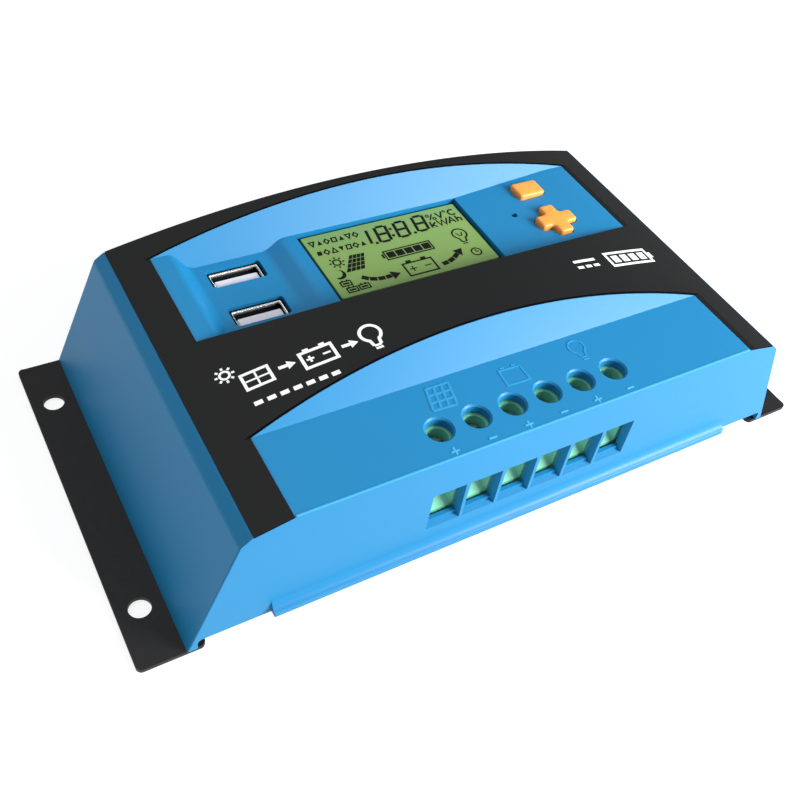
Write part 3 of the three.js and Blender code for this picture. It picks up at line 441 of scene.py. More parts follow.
def lofted(rings: np.ndarray, loop: bool = False) -> Skin:
    """Close a skin through a stack of rings.

    Point (i, j) of the grid is ring i's point j. Each cell between two rings is one four-sided face, and
    the first and last rings are closed by a face with all their points, unless the stack is a loop.

    Args:
        rings: Array of rings x points x 3.
        loop: Whether the last ring joins the first.

    Returns:
        The closed skin.
    """
    count, size, _ = rings.shape
    rows = np.arange(count if loop else count - 1)
    i, j = np.meshgrid(rows, np.arange(size), indexing="ij")
    after, beside = (i + 1) % count, (j + 1) % size
    cells = np.stack([i * size + j, i * size + beside, after * size + beside, after * size + j], -1)
    faces = cells.reshape(-1, 4).tolist()
    if not loop:
        faces += [list(range(size - 1, -1, -1)), list(range((count - 1) * size, count * size))]
    return Skin(rings.reshape(-1, 3), faces)


@dataclass(frozen=True)
class Outline:
    """A closed flat outline, with the outward direction at each of its points."""

    points: np.ndarray
    outward: np.ndarray

    @staticmethod
    def rounded(corners: Sequence[Spot], radius: float, steps: int = 6) -> "Outline":
        """Round every corner of a polygon with one radius.

        At a corner the arc's centre lies on the bisector, radius / sin(half the angle) from the corner.
        Its points turn evenly from one side's foot to the other's.

        Args:
            corners: Corners, turning left all the way round.
            radius: Radius of each corner, mm.
            steps: Faces in each corner.
        """
        corner = np.array(corners, float)
        back = np.roll(corner, 1, 0) - corner
        on = np.roll(corner, -1, 0) - corner
        back /= np.linalg.norm(back, axis=1, keepdims=True)
        on /= np.linalg.norm(on, axis=1, keepdims=True)
        half = 0.5 * np.arccos(np.clip((back * on).sum(1), -1, 1))[:, None]
        middle = back + on
        middle /= np.linalg.norm(middle, axis=1, keepdims=True)
        centre = corner + middle * radius / np.sin(half)
        start = corner + back * radius / np.tan(half) - centre
        end = corner + on * radius / np.tan(half) - centre
        turn = math.pi - 2 * half
        w = np.linspace(0, 1, steps + 1)[None, :, None]
        turn = turn[:, None, :]
        spoke = (np.sin((1 - w) * turn) * start[:, None] + np.sin(w * turn) * end[:, None]) / np.sin(turn)
        convex = np.sign(on[:, 1] * back[:, 0] - on[:, 0] * back[:, 1])
        outward = spoke / radius * -convex[:, None, None]
        return Outline((centre[:, None] + spoke).reshape(-1, 2), outward.reshape(-1, 2))

    def grown(self, distance: float) -> np.ndarray:
        """Return the points moved outwards by a distance, mm."""
        return self.points + self.outward * distance

    def shell(self, steps: Sequence[Spot]) -> np.ndarray:
        """Stack copies of the outline: step (grow, z) puts the outline, grown by that much, at that height.

        Args:
            steps: Growth and height of each ring, mm.

        Returns:
            Rings for lofted().
        """
        return np.stack([np.c_[self.grown(g), np.full(len(self.points), z)] for g, z in steps])


def box_mm(node: str) -> tuple[np.ndarray, np.ndarray]:
    """Return the lowest and the highest corner of a CAD node, mm."""
    low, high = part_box(node)
    return np.array(low) / MM, np.array(high) / MM


def flat_at(z: float) -> Lift:
    """Return the lift of a flat surface at a height, mm: (x, y, h) goes to (x, y, z + h)."""
    return lambda flat, height: np.concatenate([flat, (z + height)[..., None]], -1)


def box_corners(x0: float, x1: float, y0: float, y1: float) -> list[Spot]:
    """Return the corners of a rectangle, turning left."""
    return [(x0, y0), (x1, y0), (x1, y1), (x0, y1)]


def edge_round(radius: float, top: float, steps: int = 5) -> list[Spot]:
    """Steps of a quarter round at a top edge: grow = radius (cos a - 1), z = top - radius (1 - sin a)."""
    angles = np.linspace(0, math.pi / 2, steps + 1)
    return [(radius * (math.cos(a) - 1), top - radius * (1 - math.sin(a))) for a in angles]


class Section(Enum):
    """Cross-section of a mark: points across (-1 to 1) and up (0 to 1)."""

    FLAT = ((-1, 0), (1, 0), (1, 1), (-1, 1))
    RAISED = ((-1, -0.5), (1, -0.5), (0.86, 0.55), (0.5, 0.92), (0, 1.0), (-0.5, 0.92), (-0.86, 0.55))


@dataclass
class Marks:
    """Marks drawn on a surface: ribbons, plates and rings that stand a little above it.

    Attributes:
        lift: Takes x, y and the height above the surface, and gives points in the part's frame.
        height: How far the marks stand up, mm.
        section: Cross-section of a ribbon.
        step: Longest face along a ribbon, mm.
    """

    lift: Lift
    height: float
    section: Section = Section.FLAT
    step: float = 2.0
    skins: list[Skin] = field(default_factory=list)

    def ribbon(self, path: Iterable[Spot], width: float, closed: bool = False) -> None:
        """Carry the section along a path.

        At a path point p with mitred left normal m, the section's point (a, h) goes to p + a (width/2) m,
        at h times the height above the surface.

        Args:
            path: Points of the path, mm.
            width: Width of the mark, mm.
            closed: Whether the path joins its own start.
        """
        line = self._refined(np.array(list(path), float), closed)
        ahead = np.roll(line, -1, 0) - line
        behind = line - np.roll(line, 1, 0)
        if not closed:
            ahead[-1], behind[0] = behind[-1], ahead[0]
        ahead /= np.linalg.norm(ahead, axis=1, keepdims=True)
        behind /= np.linalg.norm(behind, axis=1, keepdims=True)
        left, last = np.stack([-ahead[:, 1], ahead[:, 0]], 1), np.stack([-behind[:, 1], behind[:, 0]], 1)
        mitre = (left + last) / np.maximum(1 + (left * last).sum(1, keepdims=True), 0.35)
        across, up = np.array(self.section.value, float).T
        flat = line[:, None] + across[None, :, None] * 0.5 * width * mitre[:, None]
        height = np.broadcast_to(up * self.height, flat.shape[:2])
        self.skins.append(lofted(self.lift(flat, height), closed))

    def _refined(self, line: np.ndarray, closed: bool) -> np.ndarray:
        """Add points so that no step along the path is longer than the limit, and keep its corners."""
        ring = np.vstack([line, line[:1]]) if closed else line
        along = np.r_[0, np.cumsum(np.linalg.norm(np.diff(ring, axis=0), axis=1))]
        stops = np.unique(np.r_[along, np.arange(0, along[-1], self.step)].round(4))
        stops = stops[np.r_[True, np.diff(stops) > 0.02]]
        out = np.c_[np.interp(stops, along, ring[:, 0]), np.interp(stops, along, ring[:, 1])]
        return out[:-1] if closed else out

    def plate(self, points: Iterable[Spot]) -> None:
        """Fill an outline: its points at the surface and at the height, closed above and below."""
        flat = np.array(list(points), float)
        low = -0.3 * self.height if self.section is Section.RAISED else 0.0
        rings = [self.lift(flat, np.full(len(flat), h)) for h in (low, self.height)]
        self.skins.append(lofted(np.stack(rings)))

    def arc(
        self, centre: Spot, radius: float, width: float, span: Spot = (0, 360)
    ) -> None:
        """Draw a ring or an arc: p = centre + radius (cos a, sin a), for angles over the span in degrees."""
        whole = abs(span[1] - span[0]) >= 360
        a = np.radians(np.linspace(*span, 33)[: 32 if whole else 33])
        self.ribbon(np.c_[centre[0] + radius * np.cos(a), centre[1] + radius * np.sin(a)], width, whole)

    def disc(self, centre: Spot, radius: float) -> None:
        """Fill a circle."""
        a = np.radians(np.arange(0, 360, 15))
        self.plate(np.c_[centre[0] + radius * np.cos(a), centre[1] + radius * np.sin(a)])

    def bar(self, a: Spot, b: Spot, width: float) -> None:
        """Draw a straight bar."""
        self.ribbon([a, b], width)

    def frame(self, x0: float, x1: float, y0: float, y1: float, width: float) -> None:
        """Draw the frame of a rectangle."""
        self.ribbon(box_corners(x0, x1, y0, y1), width, True)

    def battery(self, x0: float, x1: float, y0: float, y1: float, width: float) -> None:
        """Draw a battery seen from its side: a case, two posts, a plus and a minus."""
        self.frame(x0, x1, y0, y1, width)
        span, rise, middle = x1 - x0, y1 - y0, y0 + 0.5 * (y1 - y0)
        for share in (0.24, 0.76):
            x = x0 + share * span
            self.bar((x - 0.09 * span, y1 + 0.13 * rise), (x + 0.09 * span, y1 + 0.13 * rise), 0.16 * rise)
            self.bar((x - 0.12 * span, middle), (x + 0.12 * span, middle), 0.7 * width)
        x = x0 + 0.24 * span
        for way in (1, -1):
            self.bar((x, middle + way * 0.35 * width), (x, middle + way * 0.12 * span), 0.7 * width)

    def lamp(self, centre: Spot, radius: float, width: float, tilt: float = 0.0) -> None:
        """Draw a lamp bulb: a globe with a neck below it, turned by the tilt in degrees."""
        c, s = math.cos(math.radians(tilt)), math.sin(math.radians(tilt))
        turn, neck = radius * np.array([[c, s], [-s, c]]), 0.36
        a = np.radians(np.linspace(-62, 242, 26))
        globe = np.c_[np.cos(a), np.sin(a)]
        self.ribbon(centre + np.vstack([(neck, -1.55), globe, (-neck, -1.55)]) @ turn, width)
        for drop in (1.6, 1.95):
            self.bar(*(centre + np.array([(-neck, -drop), (neck, -drop)]) @ turn), 0.8 * width)

    def sun(self, centre: Spot, radius: float, width: float, rays: int = 8) -> None:
        """Draw a sun: a ring with straight rays."""
        self.arc(centre, radius, width)
        for a in np.radians(np.arange(rays) * 360 / rays):
            d = np.array([math.cos(a), math.sin(a)])
            self.bar(tuple(centre + 1.45 * radius * d), tuple(centre + 2.1 * radius * d), width)

    def grid(self, corners: Sequence[Spot], cells: int, gap: float) -> None:
        """Fill a four-sided field with square cells: bilinear steps between its corners.

        Args:
            corners: Lower left, lower right, upper right and upper left.
            cells: Cells along each side.
            gap: Part of a cell that is left open.
        """
        u, v = np.array(box_corners(gap / 2, 1 - gap / 2, gap / 2, 1 - gap / 2)).T
        for i in range(cells):
            for j in range(cells):
                s, t = (i + u) / cells, (j + v) / cells
                shares = np.stack([(1 - s) * (1 - t), s * (1 - t), s * t, (1 - s) * t], 1)
                self.plate(shares @ np.array(corners, float))

    def arrow(self, path: Sequence[Spot], width: float, head: float) -> None:
        """Draw an arrow: a line along the path, and a filled triangle past its end."""
        self.ribbon(path, width)
        tip, before = np.array(path[-1], float), np.array(path[-2], float)
        d = (tip - before) / np.linalg.norm(tip - before)
        side = np.array([-d[1], d[0]])
        base = tip + d * 0.02
        self.plate([base - side * head * 0.62, base + d * head, base + side * head * 0.62])


def piece(name: str, skin: Skin, finish: Finish, body: str = "controller") -> bpy.types.Object:
    """Make a mesh piece of a skin, in its finish, riding a body.

    Args:
        name: Name of the piece.
        skin: Points and faces, mm.
        finish: Its finish.
        body: Body that carries it.

    Returns:
        The new object.
    """
    mesh = bpy.data.meshes.new(name)
    mesh.from_pydata((skin.points * MM).tolist(), [], skin.faces)
    work = bmesh.new()
    work.from_mesh(mesh)
    bmesh.ops.remove_doubles(work, verts=work.verts, dist=PIECE_JOIN)
    bmesh.ops.recalc_face_normals(work, faces=work.faces)
    work.to_mesh(mesh)
    work.free()
    mesh.shade_smooth()
    mesh.set_sharp_from_angle(angle=math.radians(PIECE_SHARP))
    return settle(name, mesh, finish, body)


def settle(name: str, mesh: bpy.types.Mesh, finish: Finish, body: str) -> bpy.types.Object:
    """Put a finished mesh in the scene, dressed, on its slot and on its body.

    Args:
        name: Name of the piece.
        mesh: Its mesh, in the part's frame.
        finish: Its finish.
        body: Body that carries it.

    Returns:
        The new object.
    """
    made = bpy.data.objects.new(name, mesh)
    bpy.context.scene.collection.objects.link(made)
    mesh.materials.clear()
    mesh.materials.append(finish.material())
    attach(made, body)
    LOG.info("%s: %d faces, %s, on %s", name, len(mesh.polygons), finish.name, body)
    return made


@dataclass(frozen=True)
class EdgeFacts:
    """What is known of a mesh's edges, one row for each."""

    angle: np.ndarray
    middle: np.ndarray
    length: np.ndarray
    direction: np.ndarray
    convex: np.ndarray

    @staticmethod
    def of(mesh: bpy.types.Mesh) -> "EdgeFacts":
        """Measure every edge: the angle between its two faces, its middle, length and direction, in mm."""
        edges, loops, polys = len(mesh.edges), len(mesh.loops), len(mesh.polygons)
        ends, edge_of = np.empty(edges * 2, np.int32), np.empty(loops, np.int32)
        total, normal = np.empty(polys, np.int32), np.empty(polys * 3)
        centre, spot = np.empty(polys * 3), np.empty(len(mesh.vertices) * 3)
        mesh.edges.foreach_get("vertices", ends)
        mesh.loops.foreach_get("edge_index", edge_of)
        mesh.polygons.foreach_get("loop_total", total)
        mesh.polygons.foreach_get("normal", normal)
        mesh.polygons.foreach_get("center", centre)
        mesh.vertices.foreach_get("co", spot)
        spot = spot.reshape(-1, 3)[ends.reshape(-1, 2)] / MM
        face_of = np.repeat(np.arange(polys), total)
        order = np.argsort(edge_of, kind="stable")
        first = face_of[order][np.searchsorted(edge_of[order], np.arange(edges), "left")]
        last = face_of[order][np.searchsorted(edge_of[order], np.arange(edges), "right") - 1]
        normal, centre = normal.reshape(-1, 3), centre.reshape(-1, 3) / MM
        along = spot[:, 1] - spot[:, 0]
        length = np.linalg.norm(along, axis=1)
        angle = np.degrees(np.arccos(np.clip((normal[first] * normal[last]).sum(1), -1, 1)))
        middle = spot.mean(1)
        convex = ((centre[last] - middle) * normal[first]).sum(1) < 0
        return EdgeFacts(angle, middle, length, along / np.maximum(length, 1e-9)[:, None], convex)


WidthRule = Callable[[EdgeFacts], np.ndarray]


def softened(
    node: str,
    name: str,
    widths: WidthRule,
    finish: Finish,
    segments: int = 3,
    body: str = "controller",
) -> bpy.types.Object:
    """Stand a copy of a CAD node in for it, with the real edge radii.

    The loose triangles are joined at their corners, flat faces are made whole, and each edge is rounded by
    the width that the rule gives it.

    Args:
        node: The CAD node.
        name: Name of the piece.
        widths: Gives the rounding width of every edge, mm.
        finish: Finish of the piece.
        segments: Faces across a rounded edge.
        body: Body that carries it.

    Returns:
        The new piece, which replaces the node.
    """
    work = bmesh.new()
    work.from_mesh(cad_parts[node].data)
    bmesh.ops.remove_doubles(work, verts=work.verts, dist=NODE_JOIN)
    flat = math.radians(SAME_PLANE)
    bmesh.ops.dissolve_limit(work, angle_limit=flat, verts=work.verts, edges=work.edges)
    mesh = bpy.data.meshes.new(name)
    work.to_mesh(mesh)
    work.free()
    for spare in [a.name for a in mesh.attributes if a.name in ("custom_normal", "sharp_edge")]:
        mesh.attributes.remove(mesh.attributes[spare])
    facts = EdgeFacts.of(mesh)
    width = widths(facts)
    widest = max(float(width.max()), 1e-3)
    mesh.shade_smooth()
    sharp = mesh.attributes.new("sharp_edge", "BOOLEAN", "EDGE")
    sharp.data.foreach_set("value", (facts.angle > NODE_SHARP) & (width <= 0))
    weight = mesh.attributes.new("bevel_weight_edge", "FLOAT", "EDGE")
    weight.data.foreach_set("value", (width / widest).astype(np.float32))
    made = settle(name, mesh, finish, body)
    if width.max() > 0:
        made.modifiers.new("Edges", "BEVEL").limit_method = "WEIGHT"
        bevel = made.modifiers["Edges"]
        bevel.width, bevel.segments, bevel.use_clamp_overlap = widest * MM, segments, False
    made.data = applied(made)
    kept = np.zeros(len(made.data.edges), bool)
    sharp = made.data.attributes["sharp_edge"]
    sharp.data.foreach_get("value", kept)
    sharp.data.foreach_set("value", kept | (EdgeFacts.of(made.data).angle > ROUNDED_SHARP))
    made.modifiers.new("Evened", "WEIGHTED_NORMAL").keep_sharp = True
    made.data = applied(made)
    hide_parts(node)
    return made


def applied(made: bpy.types.Object) -> bpy.types.Mesh:
    """Return an object's mesh with its modifiers in it, and take them off the object."""
    graph = bpy.context.evaluated_depsgraph_get()
    mesh = bpy.data.meshes.new_from_object(made.evaluated_get(graph))
    made.modifiers.clear()
    return mesh


def refinish(
    made: bpy.types.Object, finish: Finish, mask: Callable[[np.ndarray, np.ndarray], np.ndarray]
) -> None:
    """Give some faces of a piece another finish.

    Args:
        made: The piece.
        finish: Finish of the masked faces.
        mask: Tells them by their middles, mm, and normals, one row for each face.
    """
    mesh = made.data
    mesh.materials.append(finish.material())
    centre, normal = np.empty(len(mesh.polygons) * 3), np.empty(len(mesh.polygons) * 3)
    mesh.polygons.foreach_get("center", centre)
    mesh.polygons.foreach_get("normal", normal)
    chosen = mask(centre.reshape(-1, 3) / MM, normal.reshape(-1, 3))
    mesh.polygons.foreach_set("material_index", chosen.astype(np.int32))


def plain_edges(width: float, angle: float = 40, length: float = 0.0) -> WidthRule:
    """Rule that rounds every outward edge sharper than an angle and longer than a length."""
    return lambda f: np.where((f.angle > angle) & f.convex & (f.length > length), width, 0.0)


def dress(node: str, finish: Finish) -> None:
    """Give a CAD node a better material in its own slots."""
    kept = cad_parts[node]
    for holder in kept.material_slots:
        holder.material = finish.material()
    if not kept.material_slots:
        kept.data.materials.append(finish.material())
    LOG.info("%s: kept, %s", node, finish.name)


# ------------------------------------------------------------------ sub-assemblies


@dataclass
class Housing:
    """The moulded top: the shell and the signs moulded on its lower floor.

    Attributes:
        edge: Radius of its long outer edges, mm.
        ramp: Radius where the sunk fields run up to the floor, mm.
        lip: Radius of the front and back lips' edges, mm.
        long_edge: Length from which an edge is one of the long ones, mm.
        wall_y: Distance from the middle beyond which an edge is on the front or back wall, mm.
        lip_y: Distance from the middle beyond which an edge is on a lip, mm.
        lip_z: Height below which it is, mm.
        corner_x: Distance from the middle beyond which a wall's edge is an upright corner, mm.
        shoulder_x: Distance from the middle beyond which an edge is on a shoulder, mm.
        shoulder_z: Height above which it is, mm.
        field_x: Distance from the middle within which the sunk fields lie, mm.
        field_z: Heights between which they lie, mm.
        sign_height: How far the moulded signs stand up, mm.
        sign_width: Width of a sign's line, mm.
        lattice_width: Width of the lines of the panel sign, mm.
        pitch: Distance between two terminals, mm.
        floor_z: Height of the lower floor, mm.
        front_edge: Where the floor's front edge is, mm.
        bead_width: Width of the rounding along that edge, mm.
        bead_height: How far it stands above the floor, mm.
        bead_reach: Where it ends on either side, mm.
    """

    edge: float = 0.5
    ramp: float = 0.9
    lip: float = 0.25
    long_edge: float = 8.0
    wall_y: float = 42.6
    lip_y: float = 45.6
    lip_z: float = 7.0
    corner_x: float = 71.0
    shoulder_x: float = 69.3
    shoulder_z: float = 30.5
    field_x: float = 66.0
    field_z: Spot = (31.0, 35.6)
    sign_height: float = 0.12
    sign_width: float = 0.55
    lattice_width: float = 0.75
    pitch: float = 9.5
    floor_z: float = 35.3
    front_edge: float = -44.52
    bead_width: float = 0.62
    bead_height: float = 0.14
    bead_reach: float = 60.6

    def build(self) -> None:
        """Build the shell and its signs."""
        softened("housing", "housing_shell", self._widths, BLUE_ABS)
        self._signs()
        self._bead()

    def _bead(self) -> None:
        """Round the floor's front edge with a low bead, glossy and painted paler as a highlight, from one end
        of it to the other.
        """
        marks = self._on_floor(self.bead_height)
        y = self.front_edge + self.bead_width / 2
        marks.bar((-self.bead_reach, y), (self.bead_reach, y), self.bead_width)
        piece("floor_edge", Skin.joined(marks.skins), PAINTED_HIGHLIGHT_ABS)

    def _on_floor(self, height: float) -> Marks:
        """Return marks that stand on the lower floor by a height, mm."""
        return Marks(flat_at(self.floor_z), height, Section.RAISED)

    def _widths(self, facts: EdgeFacts) -> np.ndarray:
        """Give the long outer edges their radii, and leave the facets of small holes as they are."""
        x, y, z = np.abs(facts.middle[:, 0]), np.abs(facts.middle[:, 1]), facts.middle[:, 2]
        outward, long = (facts.angle > 25) & facts.convex, facts.length > self.long_edge
        corner = (y > self.wall_y) & (x > self.corner_x) & (z > self.long_edge)
        shoulder = (x > self.shoulder_x) & (z > self.shoulder_z)
        lip = (y > self.lip_y) & (z < self.lip_z) & (facts.length > 1)
        low, high = self.field_z
        ramp = (facts.angle > 8) & (facts.angle < 60) & (np.abs(facts.direction[:, 1]) > 0.9)
        ramp &= (x < self.field_x) & (z > low) & (z < high)
        width = np.where(outward & long & (corner | shoulder), self.edge, 0.0)
        return np.where(outward & lip, self.lip, np.where(ramp & long, self.ramp, width))

    def _signs(self) -> None:
        """Mould a panel, a battery, a lamp and the six polarity signs on the floor above the terminals."""
        marks = self._on_floor(self.sign_height)
        w = self.sign_width
        a, b, c, d = np.array([(-22.4, -31.3), (-16.5, -31.6), (-15.1, -25.2), (-20.8, -25.2)])
        for share in np.linspace(0, 1, 4):
            marks.bar(a + share * (b - a), d + share * (c - d), self.lattice_width)
            marks.bar(a + share * (d - a), b + share * (c - b), self.lattice_width)
        marks.ribbon([(-2.8, -31.4), (3.2, -31.5), (3.2, -27.0), (-2.5, -26.8)], w, True)
        marks.bar((-1.8, -26.2), (-0.7, -26.2), w)
        marks.bar((1.3, -26.3), (2.4, -26.3), w)
        marks.lamp((19.6, -27.1), 2.1, w)
        # The panel, battery and lamp signs are painted paler than the floor: a painted highlight on their
        # lines.
        piece("floor_signs", Skin.joined(marks.skins), SIGN_HIGHLIGHT_ABS)
        marks = self._on_floor(self.sign_height)
        for i in range(6):
            x = (i - 2.5) * self.pitch
            marks.bar((x - 1.0, -42.7), (x + 1.0, -42.7), w)
            if i % 2 == 0:
                marks.bar((x, -41.7), (x, -43.7), w)
        # The polarity signs take the glossier ABS painted paler: a painted highlight on their lines.
        piece("polarity_signs", Skin.joined(marks.skins), PAINTED_HIGHLIGHT_ABS)


@dataclass
class Label:
    """The printed film on the arch, with generic signs of where the current goes.

    Attributes:
        crest: Height of the film's top at the middle, mm.
        radius: Radius of the arch, mm.
        ink: Thickness of the ink, mm.
        line: Width of the printed lines, mm.
        key_depth: How deep the ink reaches into the film, mm.
        face_rise: Least upward part of the normal on the film's face; its cut edge is steeper and gets the
            painted shade.
    """

    crest: float = 41.6
    radius: float = 312.6
    ink: float = 0.02
    line: float = 0.85
    key_depth: float = 0.012
    face_rise: float = 0.8

    def build(self) -> None:
        """Build the film and its print."""
        film = softened("label_film", "label_overlay", plain_edges(0.0), VELVET_FILM)
        # The film's steep faces, its cut edge, get a darker finish: painted shade.
        refinish(film, FILM_EDGE_SHADE, lambda centre, normal: normal[:, 2] < self.face_rise)
        self.crest = box_mm("label_film")[1][2]
        marks = Marks(self._on_arch, self.ink)
        self._energy_path(marks)
        self._level_marks(marks)
        self._supply_marks(marks)
        piece("label_print", Skin.joined(marks.skins), WHITE_INK)

    def _on_arch(self, flat: np.ndarray, height: np.ndarray) -> np.ndarray:
        """Lift flat points to the film: z = crest - radius + sqrt(radius^2 - x^2) + height - key_depth."""
        rise = np.sqrt(self.radius**2 - flat[..., 0] ** 2) - self.radius
        return np.concatenate([flat, (self.crest + rise + height - self.key_depth)[..., None]], -1)

    def _energy_path(self, marks: Marks) -> None:
        """Print sun and panel, then a battery, then a lamp, with arrows between them."""
        w = self.line
        marks.sun((-59.4, -5.9), 1.05, 0.55)
        marks.ribbon(box_corners(-56.7, -50.7, -12.0, -7.8), 0.7, True)
        marks.bar((-53.7, -11.6), (-53.7, -8.2), 0.45)
        for x in (-56.3, -53.4):
            marks.bar((x, -9.9), (x + 2.4, -9.9), 0.45)
        marks.arrow([(-48.8, -9.8), (-46.8, -9.9)], w, 1.9)
        marks.battery(-43.5, -36.1, -12.8, -8.4, 0.75)
        marks.arrow([(-34.3, -10.6), (-32.3, -10.7)], w, 1.9)
        marks.lamp((-26.9, -9.7), 2.4, 0.75)

    def _level_marks(self, marks: Marks) -> None:
        """Print a row of level bars below the signs."""
        for i in range(7):
            x = -57.0 + 2.9 * i
            marks.bar((x, -16.1 - 0.1 * i), (x + 1.9, -16.1 - 0.1 * i), 1.1)

    def _supply_marks(self, marks: Marks) -> None:
        """Print the sign for direct current and a battery gauge at the right."""
        marks.bar((33.4, -5.4), (40.4, -5.4), 0.9)
        for i in range(3):
            marks.bar((33.4 + 2.6 * i, -7.6), (35.2 + 2.6 * i, -7.6), 0.9)
        marks.frame(44.6, 58.6, -9.0, -4.2, 0.8)
        marks.bar((59.5, -7.6), (59.5, -5.6), 0.9)
        for i in range(4):
            marks.plate(box_corners(45.9 + 3.1 * i, 48.1 + 3.1 * i, -7.9, -5.3))


@dataclass
class Display:
    """The liquid crystal display: the cell, its segments and the gasket round it.

    Attributes:
        edge: Radius of the glass edges, mm.
        corner: Radius of the cell's corners, mm.
        segment: Thickness of a driven segment, mm.
    """

    edge: float = 0.12
    corner: float = 0.3
    segment: float = 0.02

    def build(self) -> None:
        """Build the cell and its segments."""
        (x0, y0, z0), (x1, y1, z1) = box_mm("lcd_glass")
        outline = Outline.rounded(box_corners(x0, x1, y0, y1), self.corner)
        rings = outline.shell([(-self.edge, z0), (0, z0 + self.edge)] + edge_round(self.edge, z1))
        cell = piece("display_cell", lofted(rings), CRYSTAL_CELL)
        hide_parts("lcd_glass")
        marks = Marks(flat_at(z1), self.segment, step=50)
        self._digits(marks)
        self._units(marks)
        self._state_marks(marks)
        self._energy(marks)
        piece("display_segments", Skin.joined(marks.skins), CRYSTAL_SEGMENT)
        dress("lcd_gasket", GASKET_FOAM)
        dress("lcd_backlight", MILKY_ACRYLIC)

    def _digits(self, marks: Marks) -> None:
        """Draw the reading: a one and three seven-bar figures, all leaning the same way."""
        marks.bar((-6.5, 25.5), (-5.7, 30.7), 0.8)
        for x, y in ((-4.0, 25.2), (1.7, 25.3), (7.6, 25.8)):
            self._figure(marks, x, y)
        for x, y in ((-5.1, 25.3), (0.4, 26.6), (0.8, 29.2), (6.5, 25.7)):
            marks.disc((x, y), 0.46)

    def _figure(self, marks: Marks, x: float, y: float) -> None:
        """Draw one seven-bar figure from its lower left corner, leaning right by 0.15 of its height."""
        wide, tall, bar, gap, lean = 3.1, 5.8, 0.84, 0.02, 0.15
        left = np.array([(x + lean * v * tall, y + v * tall) for v in (0, 0.5, 1)])
        right = left + (wide, 0)
        inset = np.array([gap + bar / 2, 0])
        for a, b in zip(left, right):
            marks.bar(a + inset, b - inset, bar)
        for side in (left, right):
            for low, high in zip(side[:-1], side[1:]):
                marks.bar(low + gap, high - gap, bar)

    def _units(self, marks: Marks) -> None:
        """Draw the units of measure beside the reading."""
        w = 0.52
        marks.arc((12.9, 30.7), 0.42, 0.36)
        marks.arc((14.4, 29.2), 0.42, 0.36)
        marks.bar((12.9, 28.9), (14.5, 31.1), 0.42)
        marks.ribbon([(15.5, 31.2), (16.3, 29.0), (17.5, 31.3)], w)
        marks.arc((18.3, 31.1), 0.34, 0.3)
        marks.arc((20.3, 30.1), 1.05, w, (50, 310))
        marks.bar((12.0, 25.9), (12.3, 28.3), w)
        marks.ribbon([(13.7, 27.7), (12.5, 26.8), (13.6, 25.9)], w)
        marks.ribbon([(14.3, 28.3), (14.9, 26.0), (15.8, 28.1), (16.4, 26.0), (17.5, 28.4)], w)
        marks.ribbon([(17.3, 26.0), (18.7, 28.4), (19.3, 26.0)], w)
        marks.bar((17.9, 26.8), (19.0, 26.8), 0.34)
        marks.ribbon([(20.2, 28.5), (20.1, 26.0)], w)
        marks.ribbon([(20.2, 27.2), (20.8, 27.5), (21.4, 27.1), (21.3, 26.0)], w)

    def _state_marks(self, marks: Marks) -> None:
        """Draw the state signs at the left: two rows of plain figures, and three small battery signs."""
        figures = (
            [(-0.7, -0.8), (0.7, -0.8), (0.15, 0.9)],
            [(-0.65, -0.75), (0.6, -0.75), (0.8, 0.75), (-0.45, 0.75)],
            [(-0.6, 0.85), (0.0, -0.85), (0.85, 0.85)],
            [(-0.75, 0.0), (-0.05, -0.9), (0.75, 0.0), (0.05, 0.9)],
        )
        for row, (y, kinds) in enumerate(((30.2, (2, 0, 3, 1, 0, 2, 3)), (26.4, (1, 3, 0, 2, 1, 3, 0)))):
            for i, kind in enumerate(kinds):
                x = -21.3 + 2.05 * i + 0.3 * row
                spots = [(x + a, y + b) for a, b in figures[kind]]
                if (i + row) % 3 == 1:
                    marks.plate(spots)
                else:
                    marks.ribbon(spots, 0.42, True)
        for x, y in ((-19.8, 14.1), (-19.2, 11.6), (-15.9, 11.7)):
            marks.frame(x - 1.35, x + 1.35, y - 0.8, y + 0.8, 0.4)
            marks.bar((x - 0.9, y), (x + 0.9, y), 0.6)
            for side in (-0.85, 0.35):
                marks.bar((x + side, y + 1.1), (x + side + 0.5, y + 1.1), 0.45)

    def _energy(self, marks: Marks) -> None:
        """Draw sun, moon and panel, the charge bar, the battery, the lamp, a clock and the arrows."""
        marks.sun((-18.4, 21.9), 1.0, 0.45)
        a = np.radians(np.linspace(-125, 80, 18))
        b = np.radians(np.linspace(70, -115, 16))
        outer = np.c_[-19.9 + 1.75 * np.cos(a), 17.6 + 1.75 * np.sin(a)]
        inner = np.c_[-20.5 + 1.6 * np.cos(b), 18.1 + 1.55 * np.sin(b)]
        marks.plate(np.vstack([outer, inner]))
        marks.grid([(-17.9, 17.6), (-12.7, 17.5), (-10.1, 23.1), (-14.3, 23.4)], 4, 0.12)
        marks.frame(-5.6, 8.0, 18.4, 21.6, 0.42)
        for i in range(5):
            marks.plate(box_corners(-5.1 + 2.6 * i, -2.8 + 2.6 * i, 18.9, 21.1))
        marks.bar((-6.25, 19.2), (-6.25, 20.8), 0.6)
        marks.battery(-3.2, 5.1, 11.0, 15.6, 0.5)
        self._band(marks, [(-15.2, 15.0), (-13.6, 13.7), (-11.6, 12.95), (-9.5, 12.75), (-7.6, 12.85)])
        self._band(marks, [(6.7, 12.2), (8.8, 12.5), (10.9, 13.3), (12.7, 14.6)])
        marks.lamp((17.4, 21.3), 2.0, 0.48, -5)
        marks.ribbon([(16.5, 21.9), (17.1, 20.6), (17.8, 20.6), (18.3, 21.9)], 0.34)
        marks.arc((17.9, 13.5), 1.35, 0.42)
        marks.ribbon([(17.9, 14.4), (17.9, 13.5), (18.6, 13.5)], 0.32)

